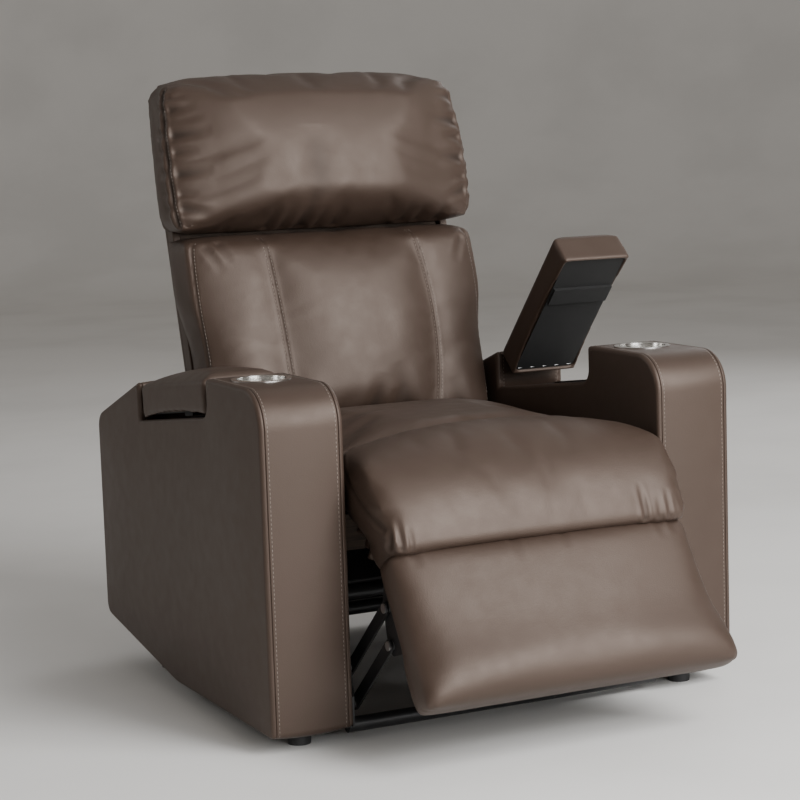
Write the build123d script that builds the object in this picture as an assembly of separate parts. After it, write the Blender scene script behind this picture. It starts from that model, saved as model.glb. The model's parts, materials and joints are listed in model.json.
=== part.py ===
from build123d import *
import os
from math import atan2, cos, degrees, hypot, radians, sin, sqrt

# Power recliner with a part-raised footrest, padded arms with lidded storage and cup holders.
# Millimetres. X runs to the sitter's left, Y towards the back, Z up, floor at Z = 0.
# While drawing, Y = 0 is the front of the arms. ORIGIN_Y then moves the whole to its middle.
ORIGIN_Y = 315.0

# Arms
CHAIR_WIDTH = 880.0
ARM_WIDTH = 145.0
ARM_TOP = 588.0
ARM_DEPTH = 812.0
ARM_BOTTOM = 28.0
ARM_FRONT_RADIUS = 65.0
ARM_TOE_RADIUS = 10.0
ARM_RAKE_FROM = 440.0
ARM_RAKE_RADIUS = 200.0
ARM_HEEL_Z = 86.0
ARM_HEEL_RADIUS = 26.0
ARM_REAR_Z = 468.0
ARM_REAR_RADIUS = 34.0
ARM_EDGE_RADIUS = 6.0
PANEL = 16.0
NOTCH_FRONT = 231.0
NOTCH_REAR = 571.0
NOTCH_FRONT_FLOOR = 524.2
NOTCH_REAR_FLOOR = 482.0
NOTCH_RADIUS = 26.0
REAR_TOP = 552.0
BAND_NOTCH_CUT = 60.0
BAND_SOLE_CUT = 40.0
BOARD = 15.0
FRAME_BOTTOM = 80.0
SOLE_BOARD_END = 720.0
REAR_BOARD_Z = (140.0, 430.0)
FOOT_TOP_D = 45.0
FOOT_FLOOR_D = 38.0
FEET_Y = (60.0, 660.0)
CUP_Y = 160.0
CUP_FLANGE_D = 100.0
CUP_FLANGE = 2.0
CUP_D = 84.0
CUP_FOOT_D = 76.0
CUP_DEPTH = 80.0
CUP_WALL = 1.2
CUP_FIT = 0.5
BIN_WALL = 3.0
BIN_FLOOR = 312.0
BIN_RIM_DROP = 2.0
BIN_CORNER = 12.0
BIN_OPEN_CUT = 40.0
ARM_OUT = CHAIR_WIDTH / 2
ARM_IN = ARM_OUT - ARM_WIDTH
ARM_MID = (ARM_IN + ARM_OUT) / 2
CORE_IN = ARM_IN + PANEL
CORE_OUT = ARM_OUT - PANEL

# Arm lids, drawn shut along their own underside: A runs forward, B up
HINGE_SET = (5.0, 3.0)
LID_FOOT_SET = (17.0, 5.0)
LID_FRONT_GAP = 10.0
LID_HINGE = (NOTCH_REAR - HINGE_SET[0], REAR_TOP - HINGE_SET[1])
LID_REAR_FOOT = (NOTCH_REAR - LID_FOOT_SET[0], NOTCH_REAR_FLOOR + LID_FOOT_SET[1])
LID_LENGTH = LID_REAR_FOOT[0] - NOTCH_FRONT - LID_FRONT_GAP
LID_SIDE_GAP = 2.0
LID_WIDTH = ARM_WIDTH - 2 * LID_SIDE_GAP
LID_OPEN_AT_REST = 40.0
LID_SKIRT = 7.0
LID_BOARD = 10.0
LID_LINING = 2.0
LID_STRIP = 6.0
LID_STRIP_AT = (195.0, 233.0)
LID_STRIP_INSET = 2.0
LID_LINING_RISE = 0.5
LID_EDGE = 56.0
LID_CROWN = 80.0
LID_REAR_TOP = 61.0
LID_FRONT_TOP = 70.0
LID_NOSE = (14.0, 16.0)
LID_NOSE_BOW = 4.0
FINGER_ARCH = 9.0
HINGE_BARREL = 9.0
HINGE_PIN = 4.0
HINGE_LEAF = 2.0
HINGE_LEAF_WIDTH = 65.0
HINGE_MIDDLE = 32.0
HINGE_LEAF_DROP = 44.0
LID_LEAF_FOOT = 20.0
LID_LEAF_SHORT = 1.0
BARREL_ROOM = 2.0

# Steel parts
LINK_WIDTH = 22.0
LINK_T = 4.0
LINK_GAP = 2.5
PIN_D = 10.0
PIN_HEAD_D = 16.0
PIN_FIT = 0.05
RUN_GAP = 0.3
TUBE_D = 25.0
LINK_PLAY = 0.2
CHANNEL_DEPTH = 11.5
CHANNEL_X = ARM_IN - CHANNEL_DEPTH
PLATE_X = CHANNEL_X - RUN_GAP - LINK_PLAY - LINK_T
ROCKER_X = PLATE_X - LINK_GAP - LINK_T
COUPLER_X = ROCKER_X - LINK_GAP - LINK_T
EAR_X = COUPLER_X - LINK_GAP - LINK_T
CHANNEL_Y = (60.0, 600.0)
CHANNEL_Z = (200.0, 235.0)
CHANNEL_T = 2.5
CHANNEL_FLANGE = 4.0
RUNNER_Y = (130.0, 560.0)
FRONT_TUBE = (30.0, 25.0)
REAR_TUBE = (640.0, 110.0)
TUBE_END_PLATE = 3.0

# Footrest and its parallel linkage, which turns it about FOOT_CENTRE in the seat's bend
FOOT_CENTRE = (-30.0, 465.0)
FOOT_STOWED = 33.0
FOOT_EXTENDED = 52.0
FOOT_FACE_Y = -38.0
FOOT_TOP_Z = 308.0
FOOT_LOW_Z = 52.0
FOOT_PAD = 65.0
FOOT_TOP_INSET = 22.0
FOOT_LOW_INSET = 12.0
FOOT_HALF_TOP = ARM_IN - FOOT_TOP_INSET
FOOT_HALF_LOW = ARM_IN - FOOT_LOW_INSET
FOOT_TOP_ROLL = (14.0, 16.0)
FOOT_LOW_ROLL = 30.0
FOOT_LOW_CORNER = (12.0, 24.0)
FOOT_REAR_RISE = 8.0
FOOT_REAR_INSET = 6.0
FOOT_CROWN_FROM = 16.0
FOOT_CROWN = 20.0
FOOT_ROLL_BOW = 9.0
FOOT_TOP_BOW = 4.0
FOOT_BOW = 3.0
FOOT_BOARD_MARGIN = (18.0, 8.0)
EAR_Z = (165.0, 292.0)
EAR_FOOT = 34.0
EAR_UPPER = (12.0, 16.0)
EAR_ELBOW = (15.0, 4.0)
EAR_TIP = (8.0, 16.0)
EAR_RADIUS = 12.0
EAR_TIP_RADIUS = 10.0
FRONT_PIVOT = (110.0, 340.0)
REAR_PIVOT = (180.0, 277.5)
UPPER_ARM = (-44.8, -229.0)
LOWER_ARM = (-56.224, -287.4)

# Drive
DRIVE_RADIUS = 110.0
DRIVE_SHARE = 0.93
RAIL_DROP = 45.0
RAIL_HALF = 16.0
RAIL_HEIGHT = 23.0
RAIL_LENGTH = 285.0
FORK_PRONG = 8.0
FORK_LEAD = 110.0
FORK_HALF = 26.0
FORK_FLOOR_GAP = 4.0
FORK_TOP_SPARE = 3.0
SHOE_HALF = 30.0
SHOE_CUT = (-400.0, 100.0)
RAIL_WALL = 4.0
GROOVE_DEPTH = 14.0
GROOVE_ENDS = (20.0, 8.0)
SCREW_D = 10.0
GEARBOX_HALF = 35.0
GEARBOX_LENGTH = 60.0
GEARBOX_OVER = (15.0, 12.0)
MOTOR_D = 48.0
MOTOR_LENGTH = 110.0
CLAMP_HALF = (24.0, 20.0)
CLAMP_HEIGHT = 55.0
SEAT_TUBE = (310.0, 150.0)

# Seat
SEAT_BOX_GAP = 4.5
SEAT_BOX_HALF = EAR_X - SEAT_BOX_GAP
SEAT_BOX_Y = (95.0, 553.0)
SEAT_BOX_Z = (300.0, 360.0)
SEAT_BOARD = 18.0
WEBBING = 2.0
STRAP_HALF = 28.0
STRAP_COUNT = 5
STRAP_MARGIN = 65.0
SPACER_Y = (240.0, 540.0)
SPACER_INSET = 5.0
PLATE_CORNERS = (
    (94.0, 356.0, 12.0),
    (94.0, 320.0, 10.0),
    (150.0, 200.0, 20.0),
    (285.0, 200.0, 8.0),
    (292.0, 132.0, 10.0),
    (328.0, 132.0, 10.0),
    (335.0, 200.0, 8.0),
    (608.0, 200.0, 10.0),
    (608.0, 363.0, 16.0),
    (575.0, 363.0, 6.0),
    (560.0, 356.0, 6.0),
)
SEAT_SIDE_GAP = 7.0
SEAT_HALF = ARM_IN - SEAT_SIDE_GAP
SEAT_FOOT_INSET = 10.0
SEAT_CROWN_BOW = 10.0
SEAT_SIDE_BOW = 6.0
SEAT_REAR_BOW = 4.0
SEAT_WAIST = 5.0
SEAT_CREST = 499.0
SEAT_SIDE_TOP = 462.0
SEAT_REAR_TOP = 474.0
SOFT_GAP = 0.3
SOFT_CUT = 10.0
CREST_DROP = 6.0
CHAISE_LOW_Z = 400.0
CHAISE_BEND = (15.0, 492.0)
CHAISE_TOP_BOW = 8.0
CHAISE_FACE_BOW = 15.0
CHAISE_LIP_GAP = 2.0
CHAISE_LIP = (6.0, 10.0)
CHAISE_CHIN = (8.0, 6.0)
CHAISE_BOW = 3.0
CHAISE_HEM_Z = 280.0
CHAISE_WAIST_Z = 345.0
CHAISE_WAIST = 12.0
CHAISE_HEM_INSET = 6.0

# Back
BACK_PIVOT = (590.0, 345.0)
BACK_FOOT = (652.0, 365.0)
BACK_RISE = 695.0
BACK_LEAN = 0.279
BACK_BOARD = 16.0
BACK_BOARD_HALF = ROCKER_X
BRACKET_REACH = 16.0
BRACKET_Z = (400.0, 425.0, 640.0)
BRACKET_RADII = (12.0, 30.0, 20.0)
BRACKET_INSET = (2.0, 1.0)
COVER_SIDE_GAP = 4.0
COVER_HALF = ARM_IN - COVER_SIDE_GAP
COVER_WALL = 12.0
COVER_REAR = 15.0
COVER_RISE = 15.0
COVER_CUT = 5.0
CREASE_Z = 798.0
CREASE_GAP = 1.0
LUMBAR_SIDE_GAP = 3.0
LUMBAR_HALF = ARM_IN - LUMBAR_SIDE_GAP
LUMBAR_SIDE_PANEL = 127.0
LUMBAR_SEAM_X = LUMBAR_HALF - LUMBAR_SIDE_PANEL
LUMBAR_LOW = 428.0
LUMBAR_BROW = (82.5, 12.0)
LUMBAR_SLOPE = (146.0, 0.86, 18.0)
LUMBAR_BELLY = (150.4, 0.358, 4.0)
LUMBAR_CHIN = (110.9, 0.0325, 3.0)
LUMBAR_UNDER = 84.6
LUMBAR_SIDE_DEPTH = 94.2
LUMBAR_SEAM_DEPTH = 115.2
LUMBAR_REAR_SPARE = 122.0
LUMBAR_SIDE_CROWN = 12.0
LUMBAR_MID_CROWN = 7.0
LUMBAR_REAR_INSET = 4.0
LUMBAR_WIDEST = 0.575
LUMBAR_INSETS = (8.0, 2.0, 6.0)
LUMBAR_BOWS = (4.0, 2.0)
HEAD_OVERHANG = 9.0
HEAD_HALF = ARM_IN + HEAD_OVERHANG
HEAD_OVER_BOARD = 42.0
HEAD_REAR_BOW = 4.0
HEAD_REAR = (27.4, 0.974, 4.0)
HEAD_RIDGE = (84.8, 0.99, 7.0)
HEAD_BROW = (107.9, 0.861, 8.0)
HEAD_CHEEK = (130.1, 0.201, 9.0)
HEAD_CHIN = (113.8, 0.056, 8.0)
HEAD_UNDER = 83.1
HEAD_EARS = ((14.0, 5.0), (0.0, 3.0), (8.0, 10.0))
HEAD_EAR_AT = (0.201, 0.762, 0.921)
HEAD_CAP_INSET = 44.0
HEAD_PLAN_DEPTH = 104.8
HEAD_REAR_SPARE = 27.0
HEAD_PLAN_SPARE = 1.0
HEAD_PLAN_INSET = 6.0
HEAD_CROWN = 26.0
BACK_CUT_Y = (500.0, 900.0)

# Hand control
PANEL_Y = (110.0, 190.0)
PANEL_Z = (506.0, 546.0)
PANEL_T = 3.0
BUTTON_D = 18.0
BUTTON_Y = (132.0, 168.0)
BUTTON_TRAVEL = 1.5
BUTTON_COLLAR_D = 21.0
BUTTON_COLLAR = 2.0
BUTTON_PROUD = 2.0
BUTTON_SPARE = 1.0
BUTTON_FIT = 0.3
INLET_Z = 190.0
INLET_HALF = (20.0, 15.0)
INLET_T = 4.0
INLET_HOLE_D = 10.0
INLET_HOLE_DEPTH = 3.0

nodes = {}


def block(x0, x1, y0, y1, z0, z1):
    """Box between two corners."""
    middle = Pos((x0 + x1) / 2, (y0 + y1) / 2, (z0 + z1) / 2)
    return middle * Box(x1 - x0, y1 - y0, z1 - z0)


def slab(face, x0, x1):
    """Side-view outline (y, z) made solid from x0 to x1."""
    return extrude(Plane.YZ.offset(x0) * face, amount=x1 - x0)


def front_slab(face, y0, y1):
    """Front-view outline (x, z) made solid from y0 to y1."""
    return extrude(Plane.XZ.offset(-y1) * face, amount=y1 - y0)


def plan_slab(face, z0, z1):
    """Top-view outline (x, y) made solid from z0 to z1."""
    return extrude(Plane.XY.offset(z0) * face, amount=z1 - z0)


def rod(x0, x1, centre, diameter):
    """Round bar along X."""
    middle = Pos((x0 + x1) / 2, centre[0], centre[1])
    return middle * Rot(0, 90, 0) * Cylinder(diameter / 2, x1 - x0)


def rounded(*corners):
    """Closed outline through corners (u, v, radius)."""
    edges = []
    joints = []
    count = len(corners)
    for i, (u, v, radius) in enumerate(corners):
        here = Vector(u, v)
        back = (Vector(*corners[i - 1][:2]) - here).normalized()
        ahead = (Vector(*corners[(i + 1) % count][:2]) - here).normalized()
        half = radians(back.get_angle(ahead)) / 2
        if radius == 0:
            joints.append((here, here))
            continue
        run = radius * cos(half) / sin(half)
        start, end = here + back * run, here + ahead * run
        middle = here + (back + ahead).normalized() * (radius / sin(half) - radius)
        edges.append(ThreePointArc(start, middle, end))
        joints.append((start, end))
    for i in range(count):
        start, end = joints[i][1], joints[(i + 1) % count][0]
        if (end - start).length > 1e-6:
            edges.append(Line(start, end))
    return make_face(edges)


def bowed(*corners):
    """Closed outline through corners (u, v, bow), listed anticlockwise.

    bow is how far the edge to the next corner swells outwards, or draws in if negative.
    """
    edges = []
    count = len(corners)
    for i, (u, v, bow) in enumerate(corners):
        start, end = Vector(u, v), Vector(*corners[(i + 1) % count][:2])
        along = (end - start).normalized()
        middle = (start + end) * 0.5 + Vector(along.Y, -along.X) * bow
        edges.append(ThreePointArc(start, middle, end) if bow else Line(start, end))
    return make_face(edges)


def both(*shapes):
    """The shapes and their mirror images on the other side of the chair."""
    return Compound(children=[*shapes, *[mirror(s, about=Plane.YZ) for s in shapes]])


def turned(point, centre, angle):
    """Point (y, z) turned about centre, positive lifting the front."""
    y, z = point[0] - centre[0], point[1] - centre[1]
    c, s = cos(radians(angle)), sin(radians(angle))
    return (centre[0] + y * c + z * s, centre[1] - y * s + z * c)


def turn(shape, centre, angle):
    """Shape turned about an X axis at centre, positive lifting the front."""
    there = Pos(0, centre[0], centre[1])
    return there * Rot(-angle, 0, 0) * Pos(0, -centre[0], -centre[1]) * shape


def link(first, last, pins, x0):
    """Flat bar with round ends and pin holes."""
    span = (last[0] - first[0], last[1] - first[1])
    middle = Pos((first[0] + last[0]) / 2, (first[1] + last[1]) / 2)
    face = middle * Rot(0, 0, degrees(atan2(span[1], span[0])))
    face = face * SlotCenterToCenter(hypot(*span), LINK_WIDTH)
    for pin in pins:
        face -= Pos(*pin) * Circle(PIN_D / 2 + PIN_FIT)
    return slab(face, x0, x0 + LINK_T)


def stepped_pin(centre, x0, x1, collar, head):
    """Pin along X from x0 to x1, with a spacing collar and a head at given X spans."""
    pin = rod(x0, x1, centre, PIN_D)
    return pin + rod(*collar, centre, PIN_HEAD_D) + rod(*head, centre, PIN_HEAD_D)


# Arms
notch_slope = atan2(NOTCH_FRONT_FLOOR - NOTCH_REAR_FLOOR, NOTCH_REAR - NOTCH_FRONT)
arm_outline = rounded(
    (0, ARM_BOTTOM, ARM_TOE_RADIUS),
    (ARM_RAKE_FROM, ARM_BOTTOM, ARM_RAKE_RADIUS),
    (ARM_DEPTH, ARM_HEEL_Z, ARM_HEEL_RADIUS),
    (ARM_DEPTH, ARM_REAR_Z, ARM_REAR_RADIUS),
    (NOTCH_REAR, REAR_TOP, ARM_EDGE_RADIUS),
    (NOTCH_REAR, NOTCH_REAR_FLOOR, 0),
    (NOTCH_FRONT, NOTCH_FRONT_FLOOR, NOTCH_RADIUS),
    (NOTCH_FRONT, ARM_TOP, ARM_EDGE_RADIUS),
    (0, ARM_TOP, ARM_FRONT_RADIUS),
)
inner_outline = offset(arm_outline, amount=-PANEL)
band = slab(arm_outline, CORE_IN, CORE_OUT) - slab(inner_outline, CORE_IN, CORE_OUT)
notch_cut_z = (NOTCH_REAR_FLOOR - BAND_NOTCH_CUT, REAR_TOP)
band -= block(CORE_IN, CORE_OUT, NOTCH_FRONT, NOTCH_REAR, *notch_cut_z)
band -= block(CORE_IN, CORE_OUT, PANEL, ARM_DEPTH - PANEL, 0, FRAME_BOTTOM + BAND_SOLE_CUT)
cup_hole = Pos(ARM_MID, CUP_Y, ARM_TOP) * Cylinder(CUP_D / 2 + CUP_FIT, 2 * CUP_DEPTH)
band -= cup_hole

frame_top = ARM_TOP - PANEL
rear_board_y = ARM_DEPTH - PANEL
frame_boards = [
    block(CORE_IN, CORE_OUT, PANEL, PANEL + BOARD, FRAME_BOTTOM, ARM_TOP - ARM_FRONT_RADIUS),
    block(CORE_IN, CORE_OUT, ARM_FRONT_RADIUS, NOTCH_FRONT - PANEL, frame_top - BOARD, frame_top)
    - cup_hole,
    block(CORE_IN, CORE_OUT, PANEL + BOARD, SOLE_BOARD_END, FRAME_BOTTOM, FRAME_BOTTOM + BOARD),
    block(CORE_IN, CORE_OUT, rear_board_y - BOARD, rear_board_y, *REAR_BOARD_Z),
    block(CORE_IN, CORE_OUT, NOTCH_FRONT, NOTCH_REAR, BIN_FLOOR - BOARD, BIN_FLOOR),
]


def notch_floor(y):
    """Height of the sloped seat that the lid shuts down to."""
    return NOTCH_REAR_FLOOR + (NOTCH_REAR - y) * sin(notch_slope) / cos(notch_slope)


def bin_outline(wall, floor):
    """Storage bin side view, drawn in by the wall."""
    front, rear = NOTCH_FRONT + RUN_GAP + wall, NOTCH_REAR - RUN_GAP - wall
    return rounded(
        (front, floor, BIN_CORNER),
        (rear, floor, BIN_CORNER),
        (rear, notch_floor(rear) - BIN_RIM_DROP, 0),
        (front, notch_floor(front) - BIN_RIM_DROP, 0),
    )


storage_bin = slab(bin_outline(0, BIN_FLOOR), CORE_IN + RUN_GAP, CORE_OUT - RUN_GAP)
bin_room = slab(
    bin_outline(BIN_WALL, BIN_FLOOR + BIN_WALL),
    CORE_IN + RUN_GAP + BIN_WALL,
    CORE_OUT - RUN_GAP - BIN_WALL,
)
storage_bin -= bin_room + Pos(0, 0, BIN_OPEN_CUT) * bin_room

cup = Pos(ARM_MID, CUP_Y, ARM_TOP - CUP_DEPTH / 2) * Cone(CUP_FOOT_D / 2, CUP_D / 2, CUP_DEPTH)
cup += Pos(ARM_MID, CUP_Y, ARM_TOP + CUP_FLANGE / 2) * Cylinder(CUP_FLANGE_D / 2, CUP_FLANGE)
cup -= Pos(ARM_MID, CUP_Y, ARM_TOP + CUP_FLANGE - (CUP_DEPTH - CUP_WALL) / 2) * Cone(
    CUP_FOOT_D / 2 - CUP_WALL, CUP_D / 2 - CUP_WALL, CUP_DEPTH - CUP_WALL
)

left_arm = {
    "outer_panel": slab(arm_outline, CORE_OUT, ARM_OUT),
    "inner_panel": slab(arm_outline, ARM_IN, CORE_IN),
    "arm_band": Compound(children=band.solids()),
    "arm_frame": Compound(children=frame_boards),
    "storage_bin": storage_bin,
    "cup_holder": cup,
}
for name, shape in left_arm.items():
    nodes["left_" + name] = shape
    nodes["right_" + name] = mirror(shape, about=Plane.YZ)

feet = [
    Pos(ARM_MID, y, FRAME_BOTTOM / 2) * Cone(FOOT_FLOOR_D / 2, FOOT_TOP_D / 2, FRAME_BOTTOM)
    for y in FEET_Y
]
nodes["feet"] = both(*feet)

# Base between the arms
channel = block(CHANNEL_X, ARM_IN, *CHANNEL_Y, *CHANNEL_Z)
channel -= block(
    CHANNEL_X,
    ARM_IN - CHANNEL_T,
    *CHANNEL_Y,
    CHANNEL_Z[0] + CHANNEL_FLANGE,
    CHANNEL_Z[1] - CHANNEL_FLANGE,
)
nodes["seat_channels"] = both(channel)


def cross_tube(centre):
    """Tube between the arms with a plate welded on each end."""
    tube = rod(-ARM_IN, ARM_IN, centre, TUBE_D)
    low = max(centre[1] - TUBE_D, ARM_BOTTOM)
    plate = block(
        ARM_IN - TUBE_END_PLATE,
        ARM_IN,
        centre[0] - TUBE_D,
        centre[0] + TUBE_D,
        low,
        low + 2 * TUBE_D,
    )
    return tube + plate + mirror(plate, about=Plane.YZ)


nodes["front_base_tube"] = cross_tube(FRONT_TUBE)
nodes["rear_base_tube"] = cross_tube(REAR_TUBE)

# Hand control on the sitter's right arm, and the low-voltage inlet behind that arm
button_z = sum(PANEL_Z) / 2
control = block(-ARM_IN, -ARM_IN + PANEL_T, *PANEL_Y, *PANEL_Z)
collar_back = -ARM_IN - BUTTON_COLLAR - BUTTON_FIT
pocket_end = collar_back - BUTTON_TRAVEL - BUTTON_SPARE
for name, y in zip(("open_button", "close_button"), BUTTON_Y):
    centre = (y, button_z)
    control -= rod(-ARM_IN, -ARM_IN + PANEL_T, centre, BUTTON_D + 2 * BUTTON_FIT)
    pocket = rod(pocket_end, -ARM_IN, centre, BUTTON_COLLAR_D + 4 * BUTTON_FIT)
    nodes["right_inner_panel"] -= pocket
    cap = rod(collar_back, -ARM_IN + PANEL_T + BUTTON_PROUD, centre, BUTTON_D)
    nodes[name] = cap + rod(collar_back, -ARM_IN - BUTTON_FIT, centre, BUTTON_COLLAR_D)
nodes["control_panel"] = control

inlet_y = (ARM_DEPTH, ARM_DEPTH + INLET_T)
inlet = block(
    -ARM_MID - INLET_HALF[0],
    -ARM_MID + INLET_HALF[0],
    *inlet_y,
    INLET_Z - INLET_HALF[1],
    INLET_Z + INLET_HALF[1],
)
inlet_hole = Pos(-ARM_MID, inlet_y[1] - INLET_HOLE_DEPTH / 2, INLET_Z) * Rot(90, 0, 0)
nodes["power_inlet"] = inlet - inlet_hole * Cylinder(INLET_HOLE_D / 2, INLET_HOLE_DEPTH)

# Lids
lid_tilt = degrees(notch_slope)


def lid_place(shape):
    """Piece drawn along the lid's underside, set down shut on the arm."""
    return Pos(0, *LID_REAR_FOOT) * Rot(-lid_tilt, 0, 0) * shape


lid_half = LID_WIDTH / 2
pocket_half = lid_half - LID_SKIRT
lining_b = LID_STRIP + LID_LINING_RISE
board_b = lining_b + LID_LINING
pad_b = board_b + LID_BOARD
lid_side = bowed(
    (0, 0, 0),
    (0, LID_REAR_TOP, LID_CROWN - (LID_REAR_TOP + LID_FRONT_TOP) / 2),
    (-LID_LENGTH + LID_NOSE[0], LID_FRONT_TOP, LID_NOSE_BOW),
    (-LID_LENGTH, LID_FRONT_TOP - LID_NOSE[1], 0),
    (-LID_LENGTH, 0, -FINGER_ARCH),
)
lid_front = bowed(
    (ARM_MID - lid_half, -1, 0),
    (ARM_MID + lid_half, -1, 0),
    (ARM_MID + lid_half, LID_EDGE, LID_CROWN - LID_EDGE),
    (ARM_MID - lid_half, LID_EDGE, 0),
)
lid_pad = slab(lid_side, ARM_IN, ARM_OUT) & front_slab(lid_front, -LID_LENGTH - 1, 1)
lid_pad -= block(
    ARM_MID - pocket_half,
    ARM_MID + pocket_half,
    -LID_LENGTH + LID_SKIRT,
    -LID_SKIRT,
    -1,
    pad_b,
)


def lid_sheet(b0, b1, a0, a1, half):
    """Flat piece inside the lid's pocket."""
    return block(ARM_MID - half, ARM_MID + half, -a1, -a0, b0, b1)


inner_a = (LID_SKIRT, LID_LENGTH - LID_SKIRT)
lid_board = lid_sheet(board_b, pad_b, *inner_a, pocket_half)
lid_lining = [
    lid_sheet(lining_b, board_b, *inner_a, pocket_half),
    lid_sheet(lining_b - LID_STRIP, lining_b, *LID_STRIP_AT, pocket_half - LID_STRIP_INSET),
]
barrel = rod(ARM_MID - HINGE_LEAF_WIDTH / 2, ARM_MID + HINGE_LEAF_WIDTH / 2, LID_HINGE, HINGE_BARREL)
barrel -= rod(ARM_IN, ARM_OUT, LID_HINGE, HINGE_PIN + 2 * PIN_FIT)
middle_span = (ARM_MID - HINGE_MIDDLE / 2, ARM_MID + HINGE_MIDDLE / 2)
middle_cut = block(
    *middle_span,
    LID_HINGE[0] - HINGE_BARREL,
    LID_HINGE[0] + HINGE_BARREL,
    LID_HINGE[1] - HINGE_BARREL,
    LID_HINGE[1] + HINGE_BARREL,
)
gap_cut = block(
    middle_span[0] - RUN_GAP,
    middle_span[1] + RUN_GAP,
    LID_HINGE[0] - HINGE_BARREL,
    LID_HINGE[0] + HINGE_BARREL,
    LID_HINGE[1] - HINGE_BARREL / 2 - RUN_GAP,
    LID_HINGE[1] + HINGE_BARREL,
)
fixed_leaf = block(
    ARM_MID - HINGE_LEAF_WIDTH / 2,
    ARM_MID + HINGE_LEAF_WIDTH / 2,
    NOTCH_REAR - HINGE_LEAF,
    NOTCH_REAR,
    LID_HINGE[1] - HINGE_LEAF_DROP,
    LID_HINGE[1],
)
fixed_leaf = (fixed_leaf + barrel) - gap_cut
fixed_leaf -= rod(ARM_IN, ARM_OUT, LID_HINGE, HINGE_PIN + 2 * PIN_FIT)
lid_leaf = block(*middle_span, 0, HINGE_LEAF, LID_LEAF_FOOT, LID_REAR_TOP - LID_LEAF_SHORT)
lid_leaf = lid_place(lid_leaf) + (barrel & middle_cut)
lid_leaf -= rod(ARM_IN, ARM_OUT, LID_HINGE, HINGE_PIN + 2 * PIN_FIT)
barrel_room = rod(ARM_IN, ARM_OUT, LID_HINGE, HINGE_BARREL + BARREL_ROOM)
hinge_pin = rod(
    ARM_MID - HINGE_LEAF_WIDTH / 2, ARM_MID + HINGE_LEAF_WIDTH / 2, LID_HINGE, HINGE_PIN
)
lid_nodes = {
    "lid_pad": lid_place(lid_pad) - barrel_room,
    "lid_board": lid_place(lid_board),
    "lid_lining": Compound(children=[lid_place(s) for s in lid_lining]),
    "lid_leaf": lid_leaf,
}
for name, shape in lid_nodes.items():
    nodes["right_" + name] = mirror(shape, about=Plane.YZ)
    nodes["left_" + name] = turn(shape, LID_HINGE, LID_OPEN_AT_REST)
nodes["lid_hinge_plates"] = both(fixed_leaf)
nodes["lid_hinge_pins"] = both(hinge_pin)

# Footrest linkage at rest
to_centre = (FOOT_CENTRE[0] - FRONT_PIVOT[0], FOOT_CENTRE[1] - FRONT_PIVOT[1])


def shifted(point, by):
    """Point (y, z) moved by a step."""
    return (point[0] + by[0], point[1] + by[1])


p_upper = shifted(FRONT_PIVOT, UPPER_ARM)
p_lower = shifted(FRONT_PIVOT, LOWER_ARM)
p_rear = shifted(REAR_PIVOT, UPPER_ARM)
q_upper = shifted(p_upper, to_centre)
q_lower = shifted(p_lower, to_centre)

nodes["front_rockers"] = both(
    link(FRONT_PIVOT, p_lower, (FRONT_PIVOT, p_upper, p_lower), ROCKER_X)
)
nodes["rear_rockers"] = both(link(REAR_PIVOT, p_rear, (REAR_PIVOT, p_rear), ROCKER_X))
nodes["upper_couplers"] = both(link(p_rear, q_upper, (p_rear, p_upper, q_upper), COUPLER_X))
nodes["lower_couplers"] = both(link(p_lower, q_lower, (p_lower, q_lower), COUPLER_X))

rocker_face = ROCKER_X + LINK_T
coupler_face = COUPLER_X + LINK_T
ear_face = EAR_X + LINK_T


def rocker_pin(centre):
    """Pin fixed in a rocker, with a coupler turning on it."""
    collar = (coupler_face + LINK_PLAY, ROCKER_X)
    head = (ear_face + LINK_PLAY, COUPLER_X - LINK_PLAY)
    return stepped_pin(centre, ear_face + LINK_PLAY, rocker_face, collar, head)


def plate_pin(centre, inner, thick):
    """Pin fixed in a seat side plate, with a flat piece turning on it."""
    collar = (inner + thick + LINK_PLAY, PLATE_X)
    head = (inner - LINK_GAP + LINK_PLAY, inner - LINK_PLAY)
    return stepped_pin(centre, inner - LINK_GAP + LINK_PLAY, PLATE_X + LINK_T, collar, head)


def ear_pin(centre):
    """Pin fixed in a footrest ear, with a coupler turning on it."""
    collar = (ear_face, COUPLER_X - LINK_PLAY)
    head = (coupler_face + LINK_PLAY, ROCKER_X - LINK_PLAY)
    return stepped_pin(centre, EAR_X, ROCKER_X - LINK_PLAY, collar, head)


nodes["front_rocker_pins"] = both(rocker_pin(p_upper), rocker_pin(p_lower))
nodes["rear_rocker_pins"] = both(rocker_pin(p_rear))
nodes["seat_pivot_pins"] = both(
    *[plate_pin(p, ROCKER_X, LINK_T) for p in (FRONT_PIVOT, REAR_PIVOT, BACK_PIVOT)]
)
nodes["footrest_pins"] = both(ear_pin(q_upper), ear_pin(q_lower))

# Drive: a tube between the front rockers, pushed by a forked carriage on a rail
arm_length = hypot(*UPPER_ARM)
tube_at_rest = shifted(
    FRONT_PIVOT, (UPPER_ARM[0] * DRIVE_RADIUS / arm_length, UPPER_ARM[1] * DRIVE_RADIUS / arm_length)
)
nodes["drive_tube"] = rod(-ROCKER_X, ROCKER_X, tube_at_rest, TUBE_D)
stroke_ends = [turned(tube_at_rest, FRONT_PIVOT, a) for a in (-FOOT_STOWED, FOOT_EXTENDED)]
stroke = (stroke_ends[1][0] - stroke_ends[0][0], stroke_ends[1][1] - stroke_ends[0][1])
along = (stroke[0] / hypot(*stroke), stroke[1] / hypot(*stroke))
upward = (along[1], -along[0])
drive_per_rad = DRIVE_SHARE * DRIVE_RADIUS


def drive_s(point):
    """Distance of a point from the front pivot along the stroke."""
    return (point[0] - FRONT_PIVOT[0]) * along[0] + (point[1] - FRONT_PIVOT[1]) * along[1]


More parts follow.
